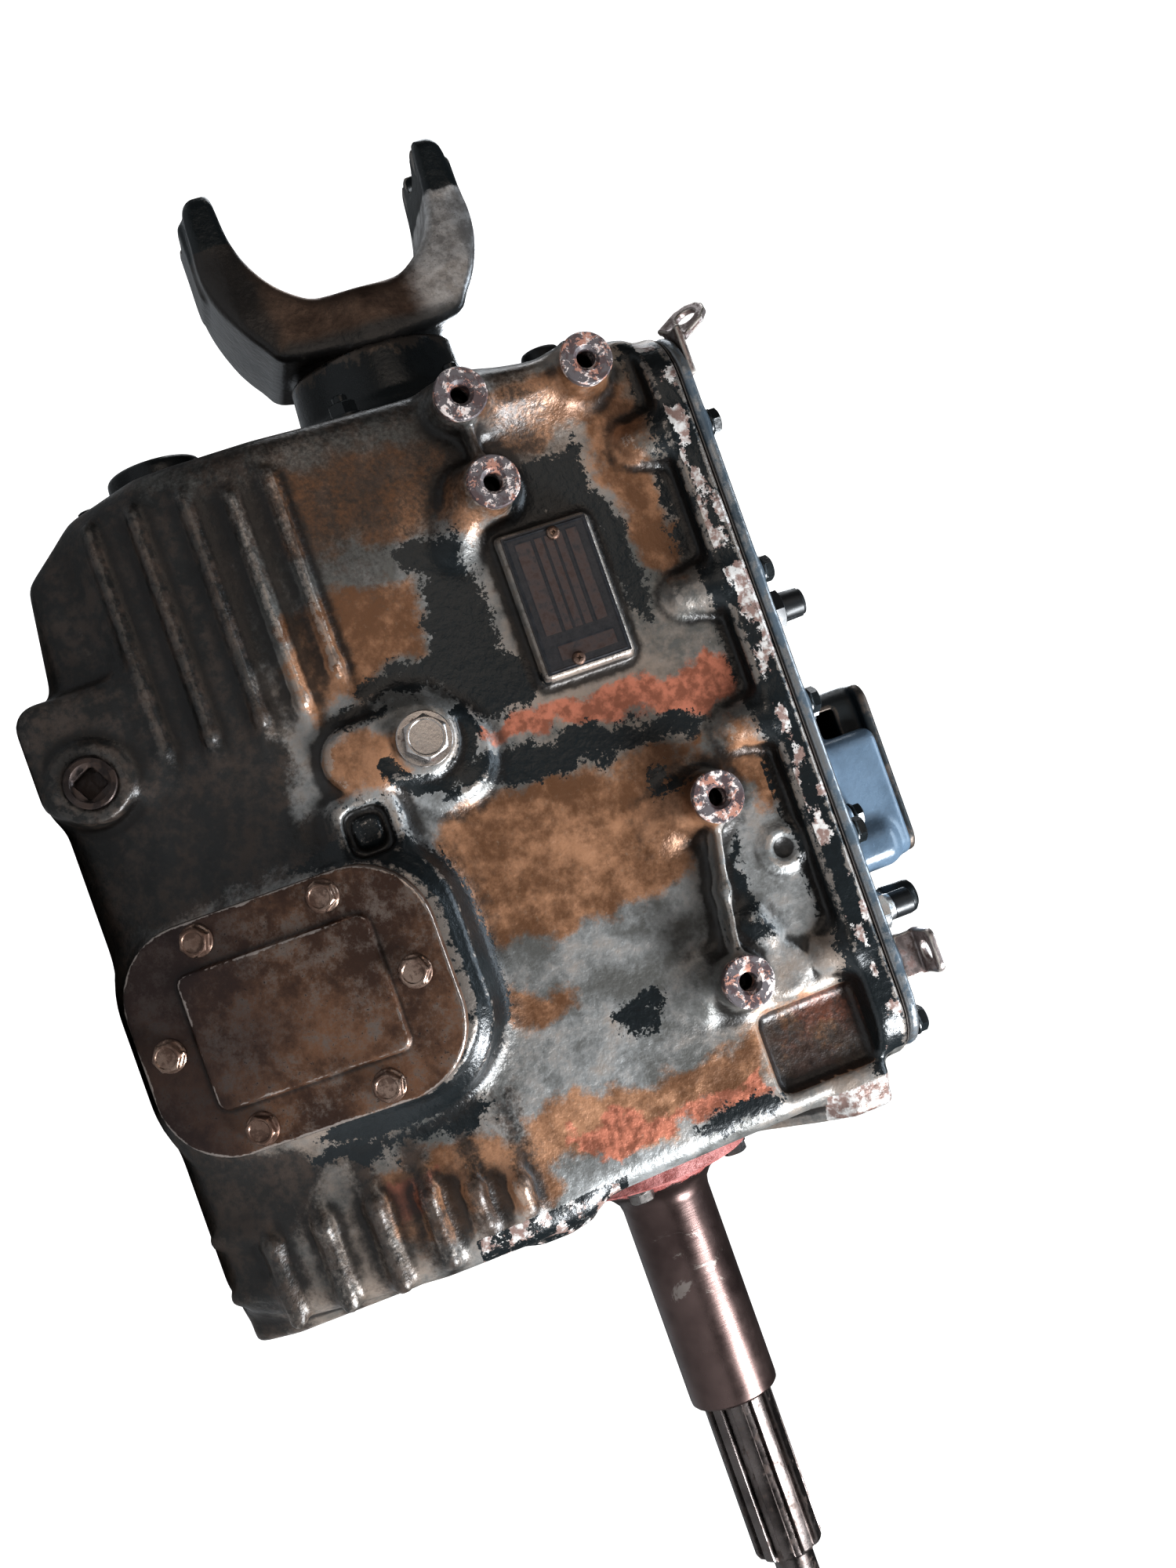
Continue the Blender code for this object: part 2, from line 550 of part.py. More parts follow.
# ---- front retainer with its quill ----
retainer = turned(
    "front_retainer",
    [(QUILL_END, 24.5), (QUILL_END, 27.5), (QUILL_END - 3, 28.5), (34, 28.5), (24, 34), (20, 40), (15, 41), (14, 62), (4.4, 62), (4.4, 33), (15, 33), (22, 24.5)],
    along_x(), "steel", 28,
)
sleeve_ring("front_seal", 20.7, 24.1, -5, 5, 32, "rubber", 24)

# ---- rear covers ----
rear_cover = turned(
    "rear_bearing_cover",
    [(-466.4, 42), (-466.4, 76), (-479, 76), (-481, 62), (-488, 56), (-520, 54), (-523, 52), (-523, 51), (-509, 51), (-509, 45), (-478, 45)],
    along_x(), "black", 28,
)
for i in range(6):
    a = math.radians(30 + 60 * i)
    boolean(rear_cover, rod(f"rear_lobe_{i}", 15, -479, -466.4, along_x(0, 70 * math.cos(a), 70 * math.sin(a)), segments=10), "UNION")
baked(rear_cover)
sleeve_ring("rear_seal", 40.9, 50.6, -5.5, 5.5, -515, "rubber", 24)
counter_cover = plate("countershaft_cover", [stadium(0, -44, 0, 44, 19, 6)], -477, -466.4, along_x(0, 0, -CENTRE), "black")
boolean(counter_cover, rod("counter_disc", 44, -477, -466.4, along_x(0, 0, -CENTRE), segments=32), "UNION")
boolean(counter_cover, rod("counter_cap", 30, -500, -470, along_x(0, 0, -CENTRE), segments=32), "UNION")
boolean(counter_cover, rod("counter_relief", 21, -480, -460, along_x(0, 0, -CENTRE), segments=24))
baked(counter_cover)

# ---- output yoke and its nut ----
saddle = [
    (-526, -46), (-526, 46), (-540, 66), (-566, 82), (-590, 88), (-612, 86), (-636, 84), (YOKE_TIP, 76), (YOKE_TIP, 64),
    (-612, 58), (-590, 50), (-570, 32), (-560, 12), (-560, -12), (-570, -32), (-590, -50), (-612, -58),
    (YOKE_TIP, -64), (YOKE_TIP, -76), (-636, -84), (-612, -86), (-590, -88), (-566, -82), (-540, -66),
]
width = [(-515, -49), (-560, -47), (-600, -42), (-636, -40), (-650, -33), (-650, 33), (-636, 40), (-600, 42), (-560, 47), (-515, 49)]
yoke = plate("output_yoke", [saddle], -60, 60, along_y(), "yoke")
boolean(yoke, plate("yoke_width", [width], -120, 120, along_z()), "INTERSECT")
boolean(yoke, turned("yoke_hub", [(-484, 0), (-484, 40), (-523, 40), (-527, 47.5), (-556, 49), (-563, 43), (-563, 0)], along_x(), None, 28), "UNION")
baked(yoke)
boolean(yoke, rod("cap_seat", 18.5, -100, 100, along_z(YOKE_TIP - 1.7, 0), segments=18))
baked(yoke)
boolean(yoke, rod("yoke_bore", 24.4, -600, -470, along_x(), segments=24))
baked(yoke)
boolean(yoke, rod("nut_seat", 27.5, -600, -546, along_x(), segments=24))
baked(yoke)
for i, sy in enumerate((-1, 1)):
    for j, sz in enumerate((-1, 1)):
        boolean(yoke, rod(f"strap_hole_{i}{j}", 4.6, YOKE_TIP - 5, YOKE_TIP + 22, along_x(0, sy * 27.5, sz * 70), segments=12))
baked(yoke)
nut = hexagon("yoke_nut", 46, -566, -554.5, along_x(), "steel")
boolean(nut, rod("nut_bore", 15, -570, -550, along_x(), segments=20))
baked(nut)

# ---- small outside pieces ----
nameplate = plate("nameplate", [rounded(80, 50, 3, 2, -330.5, 35.5)], 144.3, 145.8, along_y(), "plate")

fill = rod("fill_plug", 9.0, 133, 152, along_y(FILL_AT[0], 0, FILL_AT[1]), "steel", segments=16)
boolean(fill, rod("fill_flange", 15.5, 150.3, 154, along_y(FILL_AT[0], 0, FILL_AT[1]), segments=24), "UNION")
boolean(fill, hexagon("fill_hex", 21, 152, 163, along_y(FILL_AT[0], 0, FILL_AT[1])), "UNION")
baked(fill)
drain = rod("drain_plug", 12.7, 114, 131.5, along_y(DRAIN_AT[0], 0, DRAIN_AT[1]), "steel", segments=24)
boolean(drain, rod("drain_rim", 14, 131.3, 134, along_y(DRAIN_AT[0], 0, DRAIN_AT[1]), segments=24), "UNION")
boolean(drain, box("drain_socket", (12.8, 12.8, 16), frame((DRAIN_AT[0], -130, DRAIN_AT[1]), (1, 0, 0), (0, 0, 1))))
baked(drain)


def eye(name, x, y, length, lean, turn, hole):
    """A strip bolted flat on the cover, bent up past the edge, with a hole near its end."""
    base = frame((x, y, 151.4), (math.cos(turn), math.sin(turn), 0), (-math.sin(turn), math.cos(turn), 0))
    strip = box(name, (30, 26, 4), base @ Matrix.Translation((0, 0, 2.0 * MM)), "rusted")
    tilt = base @ Matrix.Translation((13 * MM, 0, 2.0 * MM)) @ Matrix.Rotation(-lean, 4, "Y")
    arm = box(name + "_arm", (length, 26, 4), tilt @ Matrix.Translation((length / 2 * MM, 0, 0)))
    boolean(strip, arm, "UNION")
    boolean(strip, rod(name + "_hole", hole, -8, 8, tilt @ Matrix.Translation(((length - 13) * MM, 0, 0)), segments=16))
    return baked(strip)


rear_eye = eye("rear_lifting_eye", -445, -122, 26, math.radians(60), math.pi, 6.4)
front_eye = span("front_lifting_eye", (-86, -136, 151.3), (-60, -106, 155.3), "rusted")
boolean(front_eye, span("front_eye_riser", (-86, -136, 151.3), (-60, -132, 168)), "UNION")
boolean(front_eye, span("front_eye_tab", (-86, -158, 164), (-60, -132, 168)), "UNION")
boolean(front_eye, rod("front_eye_hole", 6.5, 158, 176, along_z(-73, -146), segments=16))
baked(front_eye)

hexagon("neutral_switch", 22, 170.3, 184, along_z(-93, -64), "zinc")
switch = hexagon("reverse_switch", 22, 151.3, 160, along_z(-287, -119), "black")
boolean(switch, rod("switch_body", 9, 158, 174, along_z(-287, -119), segments=16), "UNION")
baked(switch)
breather = rod("breather", 7, 170.3, 200, along_z(-90, -24), "black", segments=16)
boolean(breather, rod("breather_cap", 11.5, 194, 217, along_z(-90, -24), segments=20), "UNION")
baked(breather)
sensor = rod("speed_sensor", 10, -480, -466.4, along_x(0, -14, 104), "black", segments=16)
boolean(sensor, rod("sensor_body", 13, -500, -478, along_x(0, -14, 104), segments=16), "UNION")
baked(sensor)
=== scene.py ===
"""The looks of the transmission: cast skins with fillets, turned and hexagonal hardware, and worn finishes."""

import json
import math

import bpy
import numpy as np
from mathutils import Matrix, Vector

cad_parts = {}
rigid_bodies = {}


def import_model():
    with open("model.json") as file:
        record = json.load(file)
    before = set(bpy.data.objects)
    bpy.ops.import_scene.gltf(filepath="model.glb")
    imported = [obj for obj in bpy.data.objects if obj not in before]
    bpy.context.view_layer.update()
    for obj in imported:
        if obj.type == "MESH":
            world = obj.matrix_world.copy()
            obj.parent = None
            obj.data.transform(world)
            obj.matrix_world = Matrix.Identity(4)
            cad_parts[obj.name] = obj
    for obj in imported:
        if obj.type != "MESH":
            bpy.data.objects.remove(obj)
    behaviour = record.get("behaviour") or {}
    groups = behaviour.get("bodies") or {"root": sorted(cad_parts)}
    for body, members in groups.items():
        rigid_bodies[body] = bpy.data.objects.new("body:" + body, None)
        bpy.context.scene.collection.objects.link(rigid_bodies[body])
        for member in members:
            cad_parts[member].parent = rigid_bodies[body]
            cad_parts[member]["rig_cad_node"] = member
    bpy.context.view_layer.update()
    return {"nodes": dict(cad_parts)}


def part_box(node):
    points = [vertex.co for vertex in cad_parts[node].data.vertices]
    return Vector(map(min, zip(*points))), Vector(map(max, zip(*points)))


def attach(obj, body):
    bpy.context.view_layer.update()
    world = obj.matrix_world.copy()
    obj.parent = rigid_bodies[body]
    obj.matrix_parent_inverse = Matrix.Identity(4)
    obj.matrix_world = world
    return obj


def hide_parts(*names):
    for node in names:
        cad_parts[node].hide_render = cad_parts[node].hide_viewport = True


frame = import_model()
MM = 0.001
TURN = math.radians(19.6)

# The shaft frame: millimetres from the main shaft's axis at the case's front face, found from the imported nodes.
_lo, _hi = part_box("output_bearing")
ORIGIN = np.array([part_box("main_case")[1].x / MM - 4.0, (_lo.y + _hi.y) / 2 / MM, (_lo.z + _hi.z) / 2 / MM])

# ------------------------------------------------------------------ meshes


def mesh_object(name, co, faces, mat, body, node=None, attrs=None, sharp=None):
    """A mesh from shaft millimetres and a list of face arrays, riding on a body and standing for a node."""
    co = (np.asarray(co, float) + ORIGIN) * MM
    groups = [np.asarray(f, np.int32) for f in faces if len(f)]
    me = bpy.data.meshes.new(name)
    me.vertices.add(len(co))
    me.vertices.foreach_set("co", co.astype(np.float32).ravel())
    loops = np.concatenate([g.ravel() for g in groups])
    sizes = np.concatenate([np.full(len(g), g.shape[1], np.int32) for g in groups])
    me.loops.add(len(loops))
    me.loops.foreach_set("vertex_index", loops)
    me.polygons.add(len(sizes))
    me.polygons.foreach_set("loop_start", np.concatenate([[0], np.cumsum(sizes)[:-1]]).astype(np.int32))
    me.update(calc_edges=True)
    me.validate()
    for key, values in (attrs or {}).items():
        a = me.attributes.new(key, "FLOAT", "POINT")
        a.data.foreach_set("value", np.asarray(values, np.float32))
    me.shade_smooth()
    if sharp:
        me.set_sharp_from_angle(angle=math.radians(sharp))
    me.materials.append(mat)
    ob = bpy.data.objects.new(name, me)
    bpy.context.scene.collection.objects.link(ob)
    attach(ob, body)
    if node:
        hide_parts(*([node] if isinstance(node, str) else node))
    return ob


def unit(v):
    v = np.asarray(v, float)
    return v / np.linalg.norm(v)


def axes(z, x=None):
    """Rows: local X, Y, Z as directions, with Z along z."""
    z = unit(z)
    x = unit(np.cross([0, 0, 1.0], z)) if x is None and abs(z[2]) < 0.9 else unit([1, 0, 0] if x is None else x)
    x = unit(x - z * (x @ z))
    return np.array([x, np.cross(z, x), z])


class Build:
    """Collects closed shells made of rings, in one mesh."""

    def __init__(self):
        self.co, self.quads, self.tris, self.n = [], [], [], 0

    def rings(self, rings, at, basis, cap=(True, True), closed=False):
        """rings: list of (N,3) local arrays, counter-clockwise about local Z, from low to high for outward faces."""
        rings = [np.asarray(r, float) for r in rings]
        n, m = len(rings[0]), len(rings)
        base = self.n
        pts = np.concatenate(rings)
        i = np.arange(n)
        j = (i + 1) % n
        last = m if closed else m - 1
        for k in range(last):
            a, b = base + k * n, base + ((k + 1) % m) * n
            self.quads.append(np.stack([a + i, a + j, b + j, b + i], 1))
        extra = []
        if not closed:
            for end, on in ((0, cap[0]), (m - 1, cap[1])):
                if on:
                    c = base + len(pts) + len(extra)
                    extra.append(rings[end].mean(0))
                    s = base + end * n
                    if end == 0:
                        self.tris.append(np.stack([s + j, s + i, np.full(n, c)], 1))
                    else:
                        self.tris.append(np.stack([s + i, s + j, np.full(n, c)], 1))
        if extra:
            pts = np.concatenate([pts, np.array(extra)])
        self.n += len(pts)
        self.co.append(np.asarray(at, float) + pts @ basis)

    def turned(self, profile, at, basis, n=72, closed=False):
        """profile: (z, r) pairs running up the outside; r = 0 at an end closes it there."""
        t = np.arange(n) * math.tau / n
        c, s = np.cos(t), np.sin(t)
        prof = list(profile)
        cap0 = cap1 = False
        if not closed:
            if prof[0][1] <= 0:
                prof, cap0 = prof[1:], True
            if prof[-1][1] <= 0:
                prof, cap1 = prof[:-1], True
        self.rings([np.stack([r * c, r * s, np.full(n, float(z))], 1) for z, r in prof], at, basis, (cap0, cap1), closed)

    def hexhead(self, at, basis, across, height, start=0.0, flange=0.0, flange_h=0.0, turn=0.0, dish=0.5, n=72, shank=0.0, depth=0.0, stud=0.0):
        """A hexagonal head with its chamfered crown, and a flange, shank or stud end where given."""
        t = np.arange(n) * math.tau / n
        c, s = np.cos(t + turn), np.sin(t + turn)
        hexr = (across / 2) / np.cos((t + math.pi / 6) % (math.pi / 3) - math.pi / 6)
        crown = across / 2 * 0.95
        drop = np.maximum(hexr - crown, 0) * math.tan(math.radians(28))
        ring = lambda r, z: np.stack([r * c, r * s, z + np.zeros(n)], 1)
        z0, z1 = start, start + height
        out = []
        if shank:
            out += [ring(shank * 0.85, z0 - depth), ring(shank, z0 - depth + 1.2), ring(shank, z0)]
        if flange:
            out += [ring(flange - 0.3, z0), ring(flange, z0 + 0.3), ring(flange, z0 + flange_h * 0.6), ring(flange - 0.5, z0 + flange_h)]
            out += [ring(np.maximum(hexr + 0.5, 0.1), z0 + flange_h + 0.25), ring(hexr, z0 + flange_h + 0.8)]
        else:
            out += [ring(hexr, z0)]
        out += [ring(hexr, z1 - drop - 0.25), ring(hexr - 0.2, z1 - drop)]
        out += [ring(crown, z1), ring(crown - 0.9, z1)]
        if stud:
            out += [ring(stud, z1), ring(stud, z1 + 4.2), ring(stud * 0.82, z1 + 5.2)]
        else:
            out += [ring(crown - 1.5, z1 - dish), ring(crown * 0.5, z1 - dish)]
        self.rings(out, at, basis)

    def done(self, name, mat, body, node=None, sharp=35, attrs=None):
        return mesh_object(name, np.concatenate(self.co), [np.concatenate(self.quads), np.concatenate(self.tris)] if self.tris else [np.concatenate(self.quads)], mat, body, node, attrs, sharp)


def washer_bolt(b, at, basis, across=14.3, height=7.0, flange=9.2, turn=0.3, shank=4.4, depth=18):
    b.hexhead(at, basis, across, height, flange=flange, flange_h=1.6, turn=turn, shank=shank, depth=depth)


# ------------------------------------------------------------------ distance fields


def smin(a, b, k):
    if k <= 0:
        return np.minimum(a, b)
    h = np.clip(0.5 + 0.5 * (b - a) / k, 0, 1)
    return b + (a - b) * h - k * h * (1 - h)


def smax(a, b, k):
    return -smin(-a, -b, k)


def sd_poly(loop, U, V):
    """Signed distance to a closed outline, on broadcastable arrays."""
    U, V = np.broadcast_arrays(U, V)
    d = np.full(U.shape, 1e12, np.float32)
    s = np.ones(U.shape, np.float32)
    for (x0, y0), (x1, y1) in zip(loop, loop[1:] + loop[:1]):
        ex, ey = x1 - x0, y1 - y0
        wx, wy = U - x0, V - y0
        t = np.clip((wx * ex + wy * ey) / (ex * ex + ey * ey + 1e-9), 0, 1)
        d = np.minimum(d, (wx - ex * t) ** 2 + (wy - ey * t) ** 2)
        c1, c2, c3 = V >= y0, V < y1, ex * wy > ey * wx
        s = np.where((c1 & c2 & c3) | (~c1 & ~c2 & ~c3), -s, s)
    return s * np.sqrt(d)


def extrude(d2, dz, e):
    a, b = d2 + e, dz + e
    return np.minimum(np.maximum(a, b), 0) + np.sqrt(np.maximum(a, 0) ** 2 + np.maximum(b, 0) ** 2) - e


def prism(loop, axis, lo, hi, e=0.0):
    """An outline extruded along an axis; its two coordinates are the other axes in the order (y,z), (x,z) or (x,y)."""
    loop = [tuple(p) for p in loop]
    us, vs = [p[0] for p in loop], [p[1] for p in loop]
    mid, half = (lo + hi) / 2, (hi - lo) / 2

    def f(X, Y, Z):
        U, V, W = {"x": (Y, Z, X), "y": (X, Z, Y), "z": (X, Y, Z)}[axis]
        return extrude(sd_poly(loop, U, V), np.abs(W - mid) - half, e)

    a, b = (min(us), min(vs)), (max(us), max(vs))
    if axis == "x":
        return f, (lo, a[0], a[1]), (hi, b[0], b[1])
    if axis == "y":
        return f, (a[0], lo, a[1]), (b[0], hi, b[1])
    return f, (a[0], a[1], lo), (b[0], b[1], hi)


def rbox(lo, hi, r=0.0):
    lo, hi = np.array(lo, float), np.array(hi, float)
    c, h = (lo + hi) / 2, (hi - lo) / 2 - r

    def f(X, Y, Z):
        qx, qy, qz = np.abs(X - c[0]) - h[0], np.abs(Y - c[1]) - h[1], np.abs(Z - c[2]) - h[2]
        out = np.sqrt(np.maximum(qx, 0) ** 2 + np.maximum(qy, 0) ** 2 + np.maximum(qz, 0) ** 2)
        return out + np.minimum(np.maximum(qx, np.maximum(qy, qz)), 0) - r

    return f, lo, hi


def rod(p0, p1, r0, r1=None, e=0.0):
    p0, p1 = np.array(p0, float), np.array(p1, float)
    r1 = r0 if r1 is None else r1
    L = np.linalg.norm(p1 - p0)
    d = (p1 - p0) / L
    slope = L / math.hypot(L, r1 - r0)

    def f(X, Y, Z):
        x, y, z = X - p0[0], Y - p0[1], Z - p0[2]
        t = x * d[0] + y * d[1] + z * d[2]
        rad = np.sqrt(np.maximum(x * x + y * y + z * z - t * t, 0))
        r = r0 + (r1 - r0) * np.clip(t / L, 0, 1)
        return extrude((rad - r) * slope, np.abs(t - L / 2) - L / 2, e)

    m = max(r0, r1)
    return f, np.minimum(p0, p1) - m, np.maximum(p0, p1) + m


def blob(p0, p1, r0, r1=None):
    """A round-ended cone between two points."""
    p0, p1 = np.array(p0, float), np.array(p1, float)
    r1 = r0 if r1 is None else r1
    L2 = max(float((p1 - p0) @ (p1 - p0)), 1e-6)

    def f(X, Y, Z):
        x, y, z = X - p0[0], Y - p0[1], Z - p0[2]
        h = np.clip((x * (p1 - p0)[0] + y * (p1 - p0)[1] + z * (p1 - p0)[2]) / L2, 0, 1)
        q = p1 - p0
        return np.sqrt((x - q[0] * h) ** 2 + (y - q[1] * h) ** 2 + (z - q[2] * h) ** 2) - (r0 + (r1 - r0) * h)

    m = max(r0, r1)
    return f, np.minimum(p0, p1) - m, np.maximum(p0, p1) + m


def placed(shape, at, basis):
    """A shape moved so that its own axes lie along the basis rows at a point."""
    f, lo, hi = shape
    at, B = np.asarray(at, float), np.asarray(basis, float)

    def g(X, Y, Z):
        x, y, z = X - at[0], Y - at[1], Z - at[2]
        return f(*(x * B[a, 0] + y * B[a, 1] + z * B[a, 2] for a in range(3)))

    corners = np.array([[(lo, hi)[i][0], (lo, hi)[j][1], (lo, hi)[k][2]] for i in (0, 1) for j in (0, 1) for k in (0, 1)]) @ B + at
    return g, corners.min(0), corners.max(0)


class Field:
    def __init__(self, lo, hi, h):
        self.h = h
        self.lo = np.array(lo, float) - 3 * h
        self.n = np.ceil((np.array(hi, float) - np.array(lo, float)) / h).astype(int) + 7
        self.ax = [(self.lo[a] + h * np.arange(self.n[a])).astype(np.float32) for a in range(3)]
        self.D = np.full(self.n, 60.0, np.float32)

    def window(self, lo, hi, pad):
        s = []
        for a in range(3):
            i0 = int(max(0, math.floor((lo[a] - pad - self.lo[a]) / self.h)))
            i1 = int(min(self.n[a], math.ceil((hi[a] + pad - self.lo[a]) / self.h) + 1))
            s.append(slice(i0, max(i1, i0)))
        return tuple(s), self.ax[0][s[0]][:, None, None], self.ax[1][s[1]][None, :, None], self.ax[2][s[2]][None, None, :]

    def add(self, shape, k=0.0):
        s, X, Y, Z = self.window(shape[1], shape[2], k + 3 * self.h)
        if min(self.D[s].shape):
            self.D[s] = smin(self.D[s], shape[0](X, Y, Z).astype(np.float32), k)

    def cut(self, shape, k=0.0):
        s, X, Y, Z = self.window(shape[1], shape[2], k + 3 * self.h)
        if min(self.D[s].shape):
            self.D[s] = smax(self.D[s], -shape[0](X, Y, Z).astype(np.float32), k)

    def soften(self, passes=1):
        self.D = blurred(self.D, passes)

    def sample(self, A, P):
        q = (P - self.lo) / self.h
        i = np.clip(np.floor(q).astype(int), 0, self.n - 2)
        f = (q - i).astype(np.float32)
        out = 0
        for dx in (0, 1):
            for dy in (0, 1):
                for dz in (0, 1):
                    w = (f[:, 0] if dx else 1 - f[:, 0]) * (f[:, 1] if dy else 1 - f[:, 1]) * (f[:, 2] if dz else 1 - f[:, 2])
                    out = out + w * A[i[:, 0] + dx, i[:, 1] + dy, i[:, 2] + dz]
        return out

    def surface(self):
        D, h = self.D, self.h
        for a in range(3):
            ix = [slice(None)] * 3
            for e in (0, -1):
                ix[a] = e
                D[tuple(ix)] = np.maximum(D[tuple(ix)], h)
        ins = D < 0
        c = np.zeros(np.array(D.shape) - 1, np.int8)
        cs = [(x, y, z) for x in (0, 1) for y in (0, 1) for z in (0, 1)]
        nx, ny, nz = D.shape
        for x, y, z in cs:
            c += ins[x : nx - 1 + x, y : ny - 1 + y, z : nz - 1 + z]
        active = (c > 0) & (c < 8)
        I, J, K = np.nonzero(active)
        acc = np.zeros((len(I), 3), np.float32)
        cnt = np.zeros(len(I), np.float32)
        vals = {q: D[I + q[0], J + q[1], K + q[2]] for q in cs}
        for q in cs:
            for a in range(3):
                if q[a]:
                    continue
                p = tuple(q[b] + (b == a) for b in range(3))
                va, vb = vals[q], vals[p]
                cr = (va < 0) != (vb < 0)
                t = np.where(cr, va / np.where(cr, va - vb, 1), 0)
                for b in range(3):
                    acc[:, b] += cr * (q[b] + (t if b == a else 0))
                cnt += cr
        P = self.lo + h * (acc / cnt[:, None] + np.stack([I, J, K], 1))
        num = np.full(active.shape, -1, np.int32)
        num[active] = np.arange(len(I), dtype=np.int32)
        quads = []
        for a in range(3):
            b, d = (a + 1) % 3, (a + 2) % 3
            lo = [slice(None)] * 3
            hi = [slice(None)] * 3
            lo[a], hi[a] = slice(0, -1), slice(1, None)
            for o in (b, d):
                lo[o] = hi[o] = slice(1, -1)
            A, B = ins[tuple(lo)], ins[tuple(hi)]
            G = np.stack(np.nonzero(A != B), 1)
            out = A[tuple(G.T)]
            G[:, b] += 1
            G[:, d] += 1

            def cell(db, dd):
                g = G.copy()
                g[:, b] += db
                g[:, d] += dd
                return num[tuple(g.T)]

            q = np.stack([cell(-1, -1), cell(0, -1), cell(0, 0), cell(-1, 0)], 1)
            q[~out] = q[~out][:, ::-1]
            quads.append(q)
        for _ in range(2):
            g = self.gradient(P)
            v = self.sample(D, P)
            step = np.clip(v / np.maximum((g**2).sum(1), 0.25), -0.4 * h, 0.4 * h)
            P = P - g * step[:, None]
        return P, np.concatenate(quads)

    def gradient(self, P):
        e = self.h * 0.5
        return np.stack([(self.sample(self.D, P + e * d) - self.sample(self.D, P - e * d)) / (2 * e) for d in np.eye(3)], 1)

    def wear(self, P, passes, scale):
        """How convex (+) or hollow (-) the surface is around each point, from -1 to 1."""
        v = (self.sample(blurred(self.D, passes), P) - self.sample(self.D, P)) / scale
        return np.clip(v, -1, 1)


def blurred(D, passes):
    for _ in range(passes):
        for a in range(3):
            M = np.moveaxis(D, a, 0)
            N = M.copy()
            N[1:-1] = 0.25 * (M[:-2] + M[2:]) + 0.5 * M[1:-1]
            D = np.moveaxis(N, 0, a)
    return np.ascontiguousarray(D)


def ring_pts(r, n, cx=0.0, cy=0.0, start=0.0):
    return [(cx + r * math.cos(start + math.tau * i / n), cy + r * math.sin(start + math.tau * i / n)) for i in range(n)]


def arc(cx, cy, r, a0, a1, n):
    return [(cx + r * math.cos(math.radians(a0 + (a1 - a0) * i / n)), cy + r * math.sin(math.radians(a0 + (a1 - a0) * i / n))) for i in range(n + 1)]


def rounded(w, h, r, cx=0.0, cy=0.0, n=10):
    out = []
    for sx, sy, a in ((1, 1, 0), (-1, 1, 90), (-1, -1, 180), (1, -1, 270)):
        out += arc(cx + sx * (w / 2 - r), cy + sy * (h / 2 - r), r, a, a + 90, n)
    return out


def stadium(x0, y0, x1, y1, r, n=10):
    a = math.degrees(math.atan2(y1 - y0, x1 - x0))
    return arc(x0, y0, r, a + 90, a + 270, n) + arc(x1, y1, r, a - 90, a + 90, n)


def lumps(P, scale, seed=1):
    """Smooth lattice noise from 0 to 1."""
    rng = np.random.RandomState(seed)
    L = rng.rand(32, 32, 32).astype(np.float32)
    q = P / scale
    i = np.floor(q).astype(int)
    f = q - i
    f = f * f * (3 - 2 * f)
    out = 0
    for dx in (0, 1):
        for dy in (0, 1):
            for dz in (0, 1):
                w = (f[:, 0] if dx else 1 - f[:, 0]) * (f[:, 1] if dy else 1 - f[:, 1]) * (f[:, 2] if dz else 1 - f[:, 2])
                out = out + w * L[(i[:, 0] + dx) % 32, (i[:, 1] + dy) % 32, (i[:, 2] + dz) % 32]
    return out


# ------------------------------------------------------------------ materials


